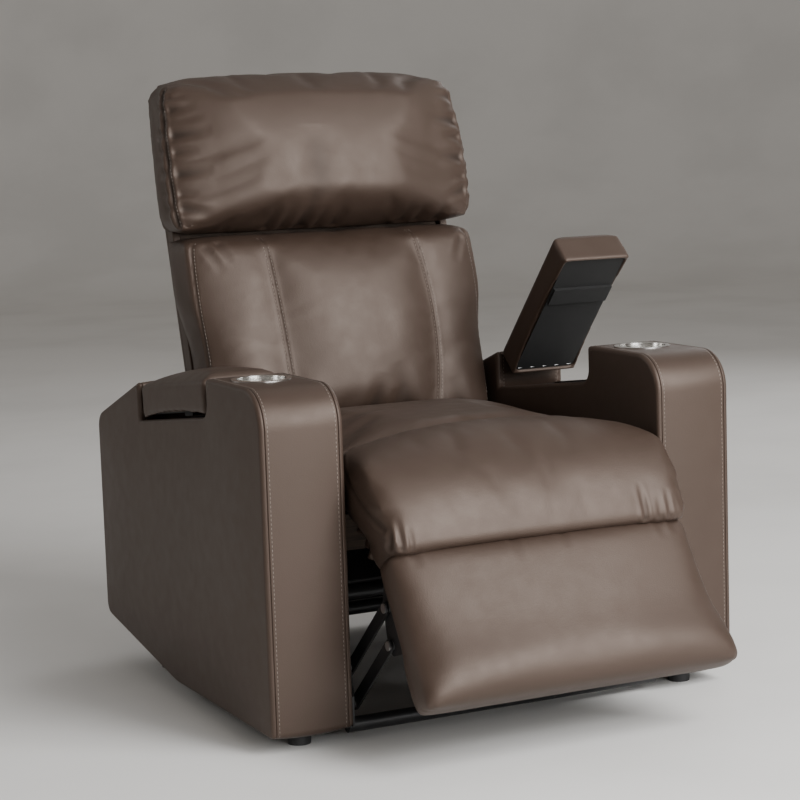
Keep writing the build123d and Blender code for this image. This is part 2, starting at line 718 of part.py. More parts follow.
def on_drive(s, n):
    """Point (y, z) at s along the stroke and n above the front pivot."""
    return (
        FRONT_PIVOT[0] + s * along[0] + n * upward[0],
        FRONT_PIVOT[1] + s * along[1] + n * upward[1],
    )


def drive_block(x_half, s0, s1, n0, n1):
    """Box square to the stroke."""
    corners = [(s0, n0), (s1, n0), (s1, n1), (s0, n1)]
    face = rounded(*[(*on_drive(s, n), 0) for s, n in corners])
    return slab(face, -x_half, x_half)


slips = []
for step in range(-int(FOOT_STOWED), int(FOOT_EXTENDED) + 1):
    moved = drive_s(turned(tube_at_rest, FRONT_PIVOT, step)) - drive_s(tube_at_rest)
    slips.append(moved - drive_per_rad * radians(step))
fork_s = drive_s(tube_at_rest) + (max(slips) + min(slips)) / 2
fork_half = TUBE_D / 2 + (max(slips) - min(slips)) / 2 + 2 * RUN_GAP
rail_top = -DRIVE_RADIUS - RAIL_DROP + RAIL_HEIGHT / 2
rail_foot = rail_top - RAIL_HEIGHT
fork_floor = -DRIVE_RADIUS - TUBE_D / 2 - FORK_FLOOR_GAP
fork_top = -sqrt(DRIVE_RADIUS**2 - (hypot(*stroke) / 2) ** 2) + TUBE_D / 2 + FORK_TOP_SPARE
prong_end = fork_half + FORK_PRONG
shoe_s = fork_s - FORK_LEAD
carriage = drive_block(
    FORK_HALF, shoe_s - SHOE_HALF, fork_s + prong_end, rail_top + RUN_GAP, fork_floor
)
carriage += drive_block(FORK_HALF, fork_s - prong_end, fork_s + prong_end, fork_floor, fork_top)
carriage -= drive_block(FORK_HALF, fork_s - fork_half, fork_s + fork_half, fork_floor, fork_top)
shoe_n = (rail_foot, rail_top + RUN_GAP)
shoe = drive_block(FORK_HALF, shoe_s - SHOE_HALF, shoe_s + SHOE_HALF, *shoe_n)
carriage += shoe - drive_block(RAIL_HALF + RUN_GAP, *SHOE_CUT, *shoe_n)
nodes["drive_carriage"] = carriage

rail = drive_block(RAIL_HALF, -RAIL_LENGTH, 0, rail_foot, rail_top)
groove_s = (-RAIL_LENGTH + GROOVE_ENDS[0], -GROOVE_ENDS[1])
groove_n = (rail_foot, rail_foot + GROOVE_DEPTH)
nodes["drive_rail"] = rail - drive_block(RAIL_HALF - RAIL_WALL, *groove_s, *groove_n)
screw_y, screw_z = on_drive(sum(groove_s) / 2, sum(groove_n) / 2)
screw_tilt = degrees(atan2(along[1], -along[0]))
nodes["drive_screw"] = (
    Pos(0, screw_y, screw_z)
    * Rot(90 - screw_tilt, 0, 0)
    * Cylinder(SCREW_D / 2, groove_s[1] - groove_s[0])
)
gear_s = (-RAIL_LENGTH - GEARBOX_LENGTH, -RAIL_LENGTH)
gear_n = (rail_foot - GEARBOX_OVER[0], rail_top + GEARBOX_OVER[1])
gearbox = drive_block(GEARBOX_HALF, *gear_s, *gear_n)
motor_at = on_drive(sum(gear_s) / 2, (rail_foot + rail_top) / 2)
motor = rod(GEARBOX_HALF, GEARBOX_HALF + MOTOR_LENGTH, motor_at, MOTOR_D)
nodes["drive_motor"] = Compound(children=[gearbox, motor])
tube_s = drive_s(SEAT_TUBE)
clamp_s = (tube_s - CLAMP_HALF[1], tube_s + CLAMP_HALF[1])
clamp = drive_block(CLAMP_HALF[0], *clamp_s, rail_top, rail_top + CLAMP_HEIGHT)
clamp -= rod(-CLAMP_HALF[0], CLAMP_HALF[0], SEAT_TUBE, TUBE_D + 2 * PIN_FIT)
nodes["motor_clamp"] = clamp

# Seat
plate_outline = rounded(*PLATE_CORNERS)
for pin in (FRONT_PIVOT, REAR_PIVOT, BACK_PIVOT):
    plate_outline -= Pos(*pin) * Circle(PIN_D / 2 + PIN_FIT)
nodes["seat_plates"] = both(slab(plate_outline, PLATE_X, PLATE_X + LINK_T))
runner = block(
    PLATE_X + LINK_T,
    ARM_IN - CHANNEL_T - RUN_GAP,
    *RUNNER_Y,
    CHANNEL_Z[0] + CHANNEL_FLANGE + RUN_GAP,
    CHANNEL_Z[1] - CHANNEL_FLANGE - RUN_GAP,
)
nodes["seat_runners"] = both(runner)
nodes["seat_tube"] = rod(-PLATE_X, PLATE_X, SEAT_TUBE, TUBE_D)

inside = SEAT_BOX_HALF - SEAT_BOARD
nodes["seat_frame"] = Compound(
    children=[
        block(-SEAT_BOX_HALF, -inside, *SEAT_BOX_Y, *SEAT_BOX_Z),
        block(inside, SEAT_BOX_HALF, *SEAT_BOX_Y, *SEAT_BOX_Z),
        block(-inside, inside, SEAT_BOX_Y[0], SEAT_BOX_Y[0] + SEAT_BOARD, *SEAT_BOX_Z),
        block(-inside, inside, SEAT_BOX_Y[1] - SEAT_BOARD, SEAT_BOX_Y[1], *SEAT_BOX_Z),
    ]
)
spacer_z = (SEAT_BOX_Z[0] + SPACER_INSET, SEAT_BOX_Z[1] - SPACER_INSET)
nodes["seat_spacers"] = both(block(SEAT_BOX_HALF, PLATE_X, *SPACER_Y, *spacer_z))
strap_z = (SEAT_BOX_Z[1], SEAT_BOX_Z[1] + WEBBING)
strap_reach = SEAT_BOX_HALF - STRAP_MARGIN
strap_pitch = 2 * strap_reach / (STRAP_COUNT - 1)
straps = []
for i in range(STRAP_COUNT):
    x = i * strap_pitch - strap_reach
    straps.append(block(x - STRAP_HALF, x + STRAP_HALF, *SEAT_BOX_Y, *strap_z))
nodes["seat_webbing"] = Compound(children=straps)

seat_z = strap_z[1] + SOFT_GAP
seat_front, seat_rear = SEAT_BOX_Y
seat_side = bowed(
    (seat_front, seat_z, 0),
    (seat_rear, seat_z, SEAT_REAR_BOW),
    (seat_rear, SEAT_REAR_TOP, SEAT_CROWN_BOW),
    (seat_front, SEAT_CREST - CREST_DROP, 0),
)
seat_across = bowed(
    (-SEAT_HALF + SEAT_FOOT_INSET, seat_z, 0),
    (SEAT_HALF - SEAT_FOOT_INSET, seat_z, SEAT_SIDE_BOW),
    (SEAT_HALF, SEAT_SIDE_TOP, SEAT_CREST - SEAT_SIDE_TOP),
    (-SEAT_HALF, SEAT_SIDE_TOP, SEAT_SIDE_BOW),
)
seat_plan = bowed(
    (-SEAT_HALF, seat_front, 0),
    (SEAT_HALF, seat_front, -SEAT_WAIST),
    (SEAT_HALF, seat_rear, 0),
    (-SEAT_HALF, seat_rear, -SEAT_WAIST),
)
nodes["seat_cushion"] = (
    slab(seat_side, -SEAT_HALF - SOFT_CUT, SEAT_HALF + SOFT_CUT)
    & front_slab(seat_across, seat_front - SOFT_CUT, seat_rear + SOFT_CUT)
    & plan_slab(seat_plan, seat_z - SOFT_CUT, SEAT_CREST + SOFT_CUT)
)

# Padded bridge from the seat to the footrest, at its rest shape
foot_top = turned((FOOT_FACE_Y, FOOT_TOP_Z), FOOT_CENTRE, FOOT_STOWED)
foot_back = turned((FOOT_FACE_Y + FOOT_PAD + BOARD, FOOT_TOP_Z), FOOT_CENTRE, FOOT_STOWED)
lift = turned((FOOT_FACE_Y, FOOT_TOP_Z + CHAISE_LIP_GAP), FOOT_CENTRE, FOOT_STOWED)
step_up = (lift[0] - foot_top[0], lift[1] - foot_top[1])
lip = shifted(foot_top, step_up)
heel = shifted(foot_back, step_up)
chaise_rear = seat_front - SOFT_GAP
chaise_side = bowed(
    (chaise_rear, CHAISE_LOW_Z, 0),
    (chaise_rear, SEAT_CREST - CREST_DROP, CHAISE_TOP_BOW),
    (*CHAISE_BEND, CHAISE_FACE_BOW),
    (lip[0] - CHAISE_LIP[0], lip[1] + CHAISE_LIP[1], CHAISE_BOW),
    (lip[0] + CHAISE_CHIN[0], lip[1] - CHAISE_CHIN[1], 0),
    (heel[0], heel[1], 2 * CHAISE_BOW),
)
chaise_across = bowed(
    (-SEAT_HALF + CHAISE_HEM_INSET, CHAISE_HEM_Z, 0),
    (SEAT_HALF - CHAISE_HEM_INSET, CHAISE_HEM_Z, 0),
    (SEAT_HALF - CHAISE_WAIST, CHAISE_WAIST_Z, CHAISE_BOW),
    (SEAT_HALF, SEAT_SIDE_TOP, SEAT_CREST - SEAT_SIDE_TOP),
    (-SEAT_HALF, SEAT_SIDE_TOP, CHAISE_BOW),
    (-SEAT_HALF + CHAISE_WAIST, CHAISE_WAIST_Z, 0),
)
nodes["chaise_pad"] = slab(
    chaise_side, -SEAT_HALF - SOFT_CUT, SEAT_HALF + SOFT_CUT
) & front_slab(chaise_across, lip[0] - 2 * SOFT_CUT, seat_front)

# Footrest, drawn hanging straight down and then turned to its rest angle
foot_rear = FOOT_FACE_Y + FOOT_PAD
pad_side = bowed(
    (foot_rear - SOFT_GAP, FOOT_TOP_Z, 0),
    (FOOT_FACE_Y + FOOT_TOP_ROLL[0], FOOT_TOP_Z, FOOT_TOP_BOW),
    (FOOT_FACE_Y, FOOT_TOP_Z - FOOT_TOP_ROLL[1], FOOT_BOW),
    (FOOT_FACE_Y, FOOT_LOW_Z + FOOT_LOW_ROLL, FOOT_ROLL_BOW),
    (FOOT_FACE_Y + FOOT_LOW_ROLL, FOOT_LOW_Z, 0),
    (foot_rear - SOFT_GAP, FOOT_LOW_Z + FOOT_REAR_RISE, 0),
)
pad_across = bowed(
    (-FOOT_HALF_LOW + FOOT_LOW_CORNER[0], FOOT_LOW_Z, 0),
    (FOOT_HALF_LOW - FOOT_LOW_CORNER[0], FOOT_LOW_Z, FOOT_BOW),
    (FOOT_HALF_LOW, FOOT_LOW_Z + FOOT_LOW_CORNER[1], -FOOT_BOW),
    (FOOT_HALF_TOP, FOOT_TOP_Z, 0),
    (-FOOT_HALF_TOP, FOOT_TOP_Z, -FOOT_BOW),
    (-FOOT_HALF_LOW, FOOT_LOW_Z + FOOT_LOW_CORNER[1], FOOT_BOW),
)
pad_plan = bowed(
    (-FOOT_HALF_LOW, FOOT_FACE_Y + FOOT_CROWN_FROM, FOOT_CROWN),
    (FOOT_HALF_LOW, FOOT_FACE_Y + FOOT_CROWN_FROM, 0),
    (FOOT_HALF_LOW - FOOT_REAR_INSET, foot_rear, 0),
    (-FOOT_HALF_LOW + FOOT_REAR_INSET, foot_rear, 0),
)
foot_pad = (
    slab(pad_side, -FOOT_HALF_LOW - SOFT_CUT, FOOT_HALF_LOW + SOFT_CUT)
    & front_slab(pad_across, FOOT_FACE_Y - SOFT_CUT, foot_rear)
    & plan_slab(pad_plan, FOOT_LOW_Z, FOOT_TOP_Z)
)
board_z = (FOOT_LOW_Z + FOOT_BOARD_MARGIN[0], FOOT_TOP_Z - FOOT_BOARD_MARGIN[1])
foot_board = block(-ear_face, ear_face, foot_rear, foot_rear + BOARD, *board_z)
ear_foot_y = foot_rear + BOARD
stowed_upper = turned(q_upper, FOOT_CENTRE, -FOOT_STOWED)
stowed_lower = turned(q_lower, FOOT_CENTRE, -FOOT_STOWED)
ear_side = rounded(
    (ear_foot_y, EAR_Z[1], 0),
    (stowed_upper[0] + EAR_UPPER[0], stowed_upper[1] + EAR_UPPER[1], EAR_RADIUS),
    (stowed_lower[0] + EAR_ELBOW[0], stowed_lower[1] + EAR_ELBOW[1], EAR_RADIUS),
    (stowed_lower[0] + EAR_TIP[0], stowed_lower[1] - EAR_TIP[1], EAR_TIP_RADIUS),
    (ear_foot_y, EAR_Z[0], 0),
)
for pin in (stowed_upper, stowed_lower):
    ear_side -= Pos(*pin) * Circle(PIN_D / 2 + PIN_FIT)
ear = slab(ear_side, EAR_X, ear_face)
ear += block(EAR_X - EAR_FOOT, ear_face, ear_foot_y, ear_foot_y + LINK_T, *EAR_Z)
nodes["footrest_pad"] = turn(foot_pad, FOOT_CENTRE, FOOT_STOWED)
nodes["footrest_board"] = turn(foot_board, FOOT_CENTRE, FOOT_STOWED)
nodes["footrest_brackets"] = turn(both(ear), FOOT_CENTRE, FOOT_STOWED)


# Back
def back_y(z, behind=0.0):
    """Y of the back board's front face at a height, or of a plane behind it."""
    return BACK_FOOT[0] + BACK_LEAN * (z - BACK_FOOT[1]) + behind


def back_layer(front, rear, z0, z1):
    """Leaning layer of the back between two planes behind the board's face."""
    return rounded(
        (back_y(z0, front), z0, 0),
        (back_y(z0, rear), z0, 0),
        (back_y(z1, rear), z1, 0),
        (back_y(z1, front), z1, 0),
    )


board_top = BACK_FOOT[1] + BACK_RISE
nodes["back_board"] = slab(
    back_layer(0, BACK_BOARD, BACK_FOOT[1], board_top), -BACK_BOARD_HALF, BACK_BOARD_HALF
)
cover = slab(
    back_layer(SOFT_GAP, BACK_BOARD + COVER_REAR, BACK_FOOT[1] + COVER_RISE, board_top + COVER_REAR),
    -COVER_HALF,
    COVER_HALF,
)
cover_room = back_layer(-COVER_CUT, BACK_BOARD + SOFT_GAP, BACK_FOOT[1], board_top + SOFT_GAP)
room_half = COVER_HALF - COVER_WALL
nodes["back_cover"] = cover - slab(cover_room, -room_half, room_half)
bracket_low, bracket_bend, bracket_top = BRACKET_Z
bracket_rear = BACK_BOARD - BRACKET_INSET[0]
foot_radius, rear_radius, front_radius = BRACKET_RADII
bracket_outline = rounded(
    (BACK_PIVOT[0] - BRACKET_REACH, BACK_PIVOT[1] - BRACKET_REACH, foot_radius),
    (BACK_PIVOT[0] + BRACKET_REACH, BACK_PIVOT[1] - BRACKET_REACH, foot_radius),
    (back_y(bracket_low, bracket_rear), bracket_low, rear_radius),
    (back_y(bracket_top, bracket_rear), bracket_top, 0),
    (back_y(bracket_top, BRACKET_INSET[1]), bracket_top, 0),
    (back_y(bracket_bend, BRACKET_INSET[1]), bracket_bend, front_radius),
    (BACK_PIVOT[0] - BRACKET_REACH, BACK_PIVOT[1] + BRACKET_REACH, foot_radius),
) - Pos(*BACK_PIVOT) * Circle(PIN_D / 2 + PIN_FIT)
bracket = slab(bracket_outline, ROCKER_X, ROCKER_X + LINK_T)
nodes["back_brackets"] = both(bracket)

def back_corner(depth, share, bow, low, top):
    """Cushion corner in front of the back, at a share of the height from low to top."""
    z = low + share * (top - low)
    return (back_y(z, -depth), z, bow)


lumbar_top = CREASE_Z - CREASE_GAP
lumbar_span = (LUMBAR_LOW, lumbar_top)
lumbar_side = bowed(
    (back_y(LUMBAR_LOW, -SOFT_GAP), LUMBAR_LOW, 0),
    (back_y(lumbar_top, -SOFT_GAP), lumbar_top, 0),
    (back_y(lumbar_top, -LUMBAR_BROW[0]), lumbar_top, LUMBAR_BROW[1]),
    back_corner(*LUMBAR_SLOPE, *lumbar_span),
    back_corner(*LUMBAR_BELLY, *lumbar_span),
    back_corner(*LUMBAR_CHIN, *lumbar_span),
    (back_y(LUMBAR_LOW, -LUMBAR_UNDER), LUMBAR_LOW, 0),
)
lumbar_foot = LUMBAR_LOW - COVER_CUT
lumbar_side_y = back_y(lumbar_foot, -LUMBAR_SIDE_DEPTH)
lumbar_seam_y = back_y(lumbar_foot, -LUMBAR_SEAM_DEPTH)
lumbar_rear_y = back_y(lumbar_foot, LUMBAR_REAR_SPARE)
lumbar_plan = bowed(
    (-LUMBAR_HALF, lumbar_side_y, LUMBAR_SIDE_CROWN),
    (-LUMBAR_SEAM_X, lumbar_seam_y, LUMBAR_MID_CROWN),
    (LUMBAR_SEAM_X, lumbar_seam_y, LUMBAR_SIDE_CROWN),
    (LUMBAR_HALF, lumbar_side_y, 0),
    (LUMBAR_HALF - LUMBAR_REAR_INSET, lumbar_rear_y, 0),
    (-LUMBAR_HALF + LUMBAR_REAR_INSET, lumbar_rear_y, 0),
)
lumbar_widest = LUMBAR_LOW + LUMBAR_WIDEST * (lumbar_top - LUMBAR_LOW)
low_inset, mid_inset, top_inset = LUMBAR_INSETS
low_bow, top_bow = LUMBAR_BOWS
lumbar_across = bowed(
    (-LUMBAR_HALF + low_inset, LUMBAR_LOW, 0),
    (LUMBAR_HALF - low_inset, LUMBAR_LOW, low_bow),
    (LUMBAR_HALF - mid_inset, lumbar_widest, top_bow),
    (LUMBAR_HALF - top_inset, lumbar_top, 0),
    (-LUMBAR_HALF + top_inset, lumbar_top, top_bow),
    (-LUMBAR_HALF + mid_inset, lumbar_widest, low_bow),
)


def leaned_plan(face, z0, z1):
    """Top-view outline carried up along the back's lean, square at the height z0."""
    foot = Plane(origin=(0, 0, z0), x_dir=(1, 0, 0), z_dir=(0, 0, 1))
    rise = Vector(0, BACK_LEAN, 1).normalized()
    return extrude(foot * face, amount=(z1 - z0) / rise.Z, dir=rise)


nodes["lumbar_cushion"] = (
    slab(lumbar_side, -LUMBAR_HALF - SOFT_CUT, LUMBAR_HALF + SOFT_CUT)
    & front_slab(lumbar_across, *BACK_CUT_Y)
    & leaned_plan(lumbar_plan, lumbar_foot, lumbar_top + COVER_CUT)
)

head_low = CREASE_Z + CREASE_GAP
head_top = board_top + HEAD_OVER_BOARD
head_rear_top = board_top + COVER_REAR
head_span = (head_low, head_top)
head_side = bowed(
    (back_y(head_low, -SOFT_GAP), head_low, 0),
    (back_y(head_rear_top, -SOFT_GAP), head_rear_top, HEAD_REAR_BOW),
    back_corner(*HEAD_REAR, *head_span),
    back_corner(*HEAD_RIDGE, *head_span),
    back_corner(*HEAD_BROW, *head_span),
    back_corner(*HEAD_CHEEK, *head_span),
    back_corner(*HEAD_CHIN, *head_span),
    (back_y(head_low, -HEAD_UNDER), head_low, 0),
)
cheek_z, brow_z, cap_z = [head_low + at * (head_top - head_low) for at in HEAD_EAR_AT]
(low_inset, low_bow), (mid_inset, mid_bow), (brow_inset, brow_bow) = HEAD_EARS
head_across = bowed(
    (-HEAD_HALF + low_inset, head_low, 0),
    (HEAD_HALF - low_inset, head_low, low_bow),
    (HEAD_HALF - mid_inset, cheek_z, mid_bow),
    (HEAD_HALF - brow_inset, brow_z, brow_bow),
    (HEAD_HALF - HEAD_CAP_INSET, cap_z, head_top - cap_z),
    (-HEAD_HALF + HEAD_CAP_INSET, cap_z, brow_bow),
    (-HEAD_HALF + brow_inset, brow_z, mid_bow),
    (-HEAD_HALF + mid_inset, cheek_z, low_bow),
)
head_foot = head_low - HEAD_PLAN_SPARE
head_front_y = back_y(head_foot, -HEAD_PLAN_DEPTH)
head_rear_y = back_y(head_foot, HEAD_REAR_SPARE)
head_plan = bowed(
    (-HEAD_HALF - HEAD_PLAN_SPARE, head_front_y, HEAD_CROWN),
    (HEAD_HALF + HEAD_PLAN_SPARE, head_front_y, 0),
    (HEAD_HALF - HEAD_PLAN_INSET, head_rear_y, 0),
    (-HEAD_HALF + HEAD_PLAN_INSET, head_rear_y, 0),
)
nodes["head_cushion"] = (
    slab(head_side, -HEAD_HALF - SOFT_CUT, HEAD_HALF + SOFT_CUT)
    & front_slab(head_across, *BACK_CUT_Y)
    & leaned_plan(head_plan, head_foot, head_top + HEAD_PLAN_SPARE)
)

os.makedirs("parts", exist_ok=True)
for name, shape in nodes.items():
    solids = [Pos(0, -ORIGIN_Y, 0) * solid for solid in shape.solids()]
    export_step(Compound(children=solids), f"parts/{name}.step")
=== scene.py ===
"""Power recliner in dark brown leather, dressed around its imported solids."""

import json
import logging
import math
from dataclasses import dataclass
from enum import Enum
from typing import Any, Iterable, Sequence

import bmesh
import bpy
import numpy as np
from bpy.types import Material, Mesh, Node, NodeSocket, NodeTree, Object
from mathutils import Matrix, Vector
from mathutils.bvhtree import BVHTree
from mathutils.geometry import delaunay_2d_cdt


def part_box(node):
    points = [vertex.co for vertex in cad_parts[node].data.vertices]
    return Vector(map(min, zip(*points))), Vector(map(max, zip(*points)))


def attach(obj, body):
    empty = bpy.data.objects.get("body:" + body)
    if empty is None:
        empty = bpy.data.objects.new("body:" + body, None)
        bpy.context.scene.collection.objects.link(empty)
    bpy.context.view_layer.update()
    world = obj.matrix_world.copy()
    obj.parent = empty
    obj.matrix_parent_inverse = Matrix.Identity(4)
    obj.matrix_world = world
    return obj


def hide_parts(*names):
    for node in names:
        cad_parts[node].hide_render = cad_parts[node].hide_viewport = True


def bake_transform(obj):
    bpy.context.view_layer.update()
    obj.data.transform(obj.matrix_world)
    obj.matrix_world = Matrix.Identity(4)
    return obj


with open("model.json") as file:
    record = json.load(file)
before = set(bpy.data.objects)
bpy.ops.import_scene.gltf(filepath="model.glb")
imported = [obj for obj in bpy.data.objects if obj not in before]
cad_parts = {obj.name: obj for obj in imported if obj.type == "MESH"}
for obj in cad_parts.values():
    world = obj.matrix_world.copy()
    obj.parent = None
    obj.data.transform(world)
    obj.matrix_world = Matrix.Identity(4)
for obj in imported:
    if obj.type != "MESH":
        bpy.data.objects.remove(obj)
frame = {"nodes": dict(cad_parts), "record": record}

LOG = logging.getLogger("recliner")
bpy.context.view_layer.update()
MM = 0.001
ARM_FRONT_Y = -0.315  # In metres.
REARWARD = Vector((0.0, 1.0, 0.0))
DOWN = Vector((0.0, 0.0, -1.0))
BACK_LEAN = 0.279  # Depth gained with each millimetre of height.
BACK_Y, BACK_Z = 652.0, 365.0  # Foot of the back board's face.
BEND_START = (60.0, 500.0)  # The bridge bends from here (y, z), on the seat,
BEND_END = (-118.0, 345.0)  # to here, on the footrest.
SMALLEST_GAP = 1e-5  # Points nearer than this, in metres, are merged.
NO_FILL = 400.0  # A fill step that leaves a narrow face without inner points.
SIDE_X = 200.0  # Rays from a side are aimed at points this far out.
Colour = tuple[float, float, float, float]
Line = list[Vector]
Rest = tuple[Vector, Vector]


def at(x: float, y: float, z: float) -> Vector:
    """Point in the chair's frame from millimetres, with Y counted from the arm fronts."""
    return Vector((x * MM, y * MM + ARM_FRONT_Y, z * MM))


def back_plane(z: float) -> float:
    """Depth of the back board's face at a height, in millimetres."""
    return BACK_Y + BACK_LEAN * (z - BACK_Z)


def spread(first: float, last: float, count: int) -> list[float]:
    """Evenly spaced values from first to last."""
    return [float(v) for v in np.linspace(first, last, count)]


def inwards(sign: int) -> Vector:
    """Direction across the chair from one side."""
    return Vector((-sign, 0, 0))


def add_node(
    tree: NodeTree, kind: str, settings: dict[str, Any], inputs: dict[Any, Any]
) -> Node:
    """Add a node to a tree.

    Args:
        tree: The node tree.
        kind: Blender's name of the node type.
        settings: Properties, set first.
        inputs: Values, or sockets to link from, by name or index.

    Returns:
        The new node.
    """
    made = tree.nodes.new(kind)
    for key, value in settings.items():
        setattr(made, key, value)
    for key, value in inputs.items():
        if isinstance(value, NodeSocket):
            tree.links.new(value, made.inputs[key])
        else:
            made.inputs[key].default_value = value
    return made


class Signal:
    """A shader socket that takes part in arithmetic."""

    def __init__(self, bench: "NodeBench", socket: NodeSocket) -> None:
        """Keep the bench and the socket."""
        self.bench = bench
        self.socket = socket

    def __add__(self, other: Any) -> "Signal":
        """Sum."""
        return self.bench.maths("ADD", self, other)

    __radd__ = __add__

    def __sub__(self, other: Any) -> "Signal":
        """Difference."""
        return self.bench.maths("SUBTRACT", self, other)

    def __mul__(self, other: Any) -> "Signal":
        """Product."""
        return self.bench.maths("MULTIPLY", self, other)

    def clamp(self, low: float = 0.0, high: float = 1.0) -> "Signal":
        """Signal kept between two values."""
        inputs = {"Value": self, "Min": low, "Max": high}
        return self.bench.read("ShaderNodeClamp", {}, inputs)

    def ramp(self, low: float, high: float) -> "Signal":
        """Smooth step from 0 at low to 1 at high."""
        inputs = {"Value": self, "From Min": low, "From Max": high}
        return self.bench.read("ShaderNodeMapRange", {"interpolation_type": "SMOOTHSTEP"}, inputs)


class NodeBench:
    """Builds one material's node tree."""

    def __init__(self, name: str) -> None:
        """Start an empty material.

        Args:
            name: Name of the new material.
        """
        self.material = bpy.data.materials.new(name)
        self.material.use_nodes = True
        self.tree = self.material.node_tree
        self.tree.nodes.clear()

    def node(self, kind: str, settings: dict[str, Any], inputs: dict[Any, Any]) -> Node:
        """Add a node, with signals linked to its sockets."""
        plain = {k: v.socket if isinstance(v, Signal) else v for k, v in inputs.items()}
        return add_node(self.tree, kind, settings, plain)

    def read(
        self, kind: str, settings: dict[str, Any], inputs: dict[Any, Any], output: Any = 0
    ) -> Signal:
        """Add a node and take one of its outputs as a signal."""
        return Signal(self, self.node(kind, settings, inputs).outputs[output])

    def maths(self, operation: str, *terms: Any) -> Signal:
        """One arithmetic step on signals and numbers."""
        return self.read("ShaderNodeMath", {"operation": operation}, dict(enumerate(terms)))

    def place(self) -> Signal:
        """Object coordinates, which are the chair's frame in metres."""
        return self.read("ShaderNodeTexCoord", {}, {}, "Object")

    def stretched(self, place: Signal, scale: tuple[float, float, float]) -> Signal:
        """Coordinates scaled by axis."""
        return self.read("ShaderNodeVectorMath", {"operation": "MULTIPLY"}, {0: place, 1: scale})

    def noise(self, place: Signal, scale: float, detail: float = 2.0, warp: float = 0.0) -> Signal:
        """Cloudy noise of about 1 / scale metres."""
        inputs = {"Vector": place, "Scale": scale, "Detail": detail, "Distortion": warp}
        return self.read("ShaderNodeTexNoise", {}, inputs)

    def cells(self, place: Signal, scale: float) -> Signal:
        """Distance within cells of about 1 / scale metres."""
        inputs = {"Vector": place, "Scale": scale}
        return self.read("ShaderNodeTexVoronoi", {"feature": "F1"}, inputs)

    def attribute(self, name: str) -> Signal:
        """Number stored on the mesh."""
        return self.read("ShaderNodeAttribute", {"attribute_name": name}, {}, "Fac")

    def tint(self, factor: Any, first: Any, second: Any) -> Signal:
        """Colour between two colours."""
        inputs = {0: factor, 6: first, 7: second}
        return self.read("ShaderNodeMix", {"data_type": "RGBA"}, inputs, 2)

    def bump(self, height: Signal, strength: float, reach: float, under: Any = None) -> Signal:
        """Normal raised by a height, on top of another normal.

        Args:
            height: Height as a signal.
            strength: Share of the effect.
            reach: Metres that a height of 1 stands for.
            under: Normal that lies below it, if any.

        Returns:
            The raised normal.
        """
        inputs = {"Height": height, "Strength": strength, "Distance": reach}
        if under is not None:
            inputs["Normal"] = under
        return self.read("ShaderNodeBump", {}, inputs)

    def finish(self, inputs: dict[str, Any]) -> Material:
        """Close the tree with a principled shader.

        Args:
            inputs: The shader's socket values and signals.

        Returns:
            The finished material.
        """
        shader = self.read("ShaderNodeBsdfPrincipled", {}, inputs)
        self.node("ShaderNodeOutputMaterial", {}, {"Surface": shader})
        return self.material


@dataclass(frozen=True)
class Leather:
    """Satin coated leather with a fine pebble, soft creases and painted shade that darkens its
    folds.

    clouds, mottles, pebbles, pores and creases are counted by the metre.
    """

    name: str = "brown_leather"
    base: Colour = (0.038, 0.0235, 0.0168, 1.0)
    worn: Colour = (0.044, 0.0280, 0.0208, 1.0)
    # fold is a shaded copy of the leather, painted into pressed creases as shade.
    fold: Colour = (0.012, 0.0075, 0.0055, 1.0)
    tint: Colour = (1.0, 0.86, 0.77, 1.0)
    roughness: float = 0.51
    clouds: float = 3.1
    mottles: float = 34.0
    pebbles: float = 560.0
    pores: float = 1700.0
    creases: float = 11.0
    ior: float = 1.5
    gloss: float = 0.58

    def material(self) -> Material:
        """Build the leather.

        Returns:
            The material.
        """
        bench = NodeBench(self.name)
        place = bench.place()
        cloud = bench.noise(place, self.clouds, detail=3.0)
        mottle = bench.noise(place, self.mottles, detail=4.0)
        pressed = bench.attribute("fold")
        pebble = bench.cells(place, self.pebbles)
        pore = bench.noise(place, self.pores)
        wave = bench.noise(place, self.creases, detail=4.0, warp=0.7)
        colour = bench.tint((cloud * 0.7 + mottle * 0.3).ramp(0.34, 0.72), self.base, self.worn)
        # Painted shade: the deeper a crease is pressed, the nearer its colour comes to the fold
        # colour.
        colour = bench.tint(pressed.ramp(0.1, 1.0) * 0.75, colour, self.fold)
        colour = bench.tint((pressed * -1.0).ramp(0.05, 0.9) * 0.45, colour, self.worn)
        rough = self.roughness + (mottle - 0.5) * 0.16 + pressed.clamp(0.0, 1.0) * 0.12
        normal = bench.bump(wave, strength=0.10, reach=0.006)
        grain = pebble * 0.7 + pore * 0.3
        normal = bench.bump(grain, strength=0.22, reach=0.0006, under=normal)
        return bench.finish(
            {
                "Base Color": colour,
                "Roughness": rough.clamp(0.2, 0.8),
                "Normal": normal,
                "IOR": self.ior,
                "Specular IOR Level": self.gloss,
                "Specular Tint": self.tint,
            }
        )


@dataclass(frozen=True)
class NonWoven:
    """Matt black dust cloth with short pressed fibres."""

    name: str = "black_fabric"
    base: Colour = (0.005, 0.005, 0.005, 1.0)
    lint: Colour = (0.013, 0.013, 0.013, 1.0)
    fibres: float = 900.0
    dots: float = 420.0
    clouds: float = 18.0
    roughness: float = 0.86

    def material(self) -> Material:
        """Build the cloth.

        Returns:
            The material.
        """
        bench = NodeBench(self.name)
        place = bench.place()
        drawn_out = bench.stretched(place, (1.0, 0.35, 0.35))
        fibre = bench.noise(drawn_out, self.fibres, detail=3.0, warp=1.5)
        dots = bench.cells(place, self.dots)
        cloud = bench.noise(place, self.clouds, detail=3.0)
        colour = bench.tint((fibre * 0.6 + cloud * 0.4).ramp(0.4, 0.75), self.base, self.lint)
        normal = bench.bump(fibre * 0.6 + dots * 0.5, strength=0.35, reach=0.0006)
        rough = self.roughness + (cloud - 0.5) * 0.1
        return bench.finish({"Base Color": colour, "Roughness": rough, "Normal": normal})


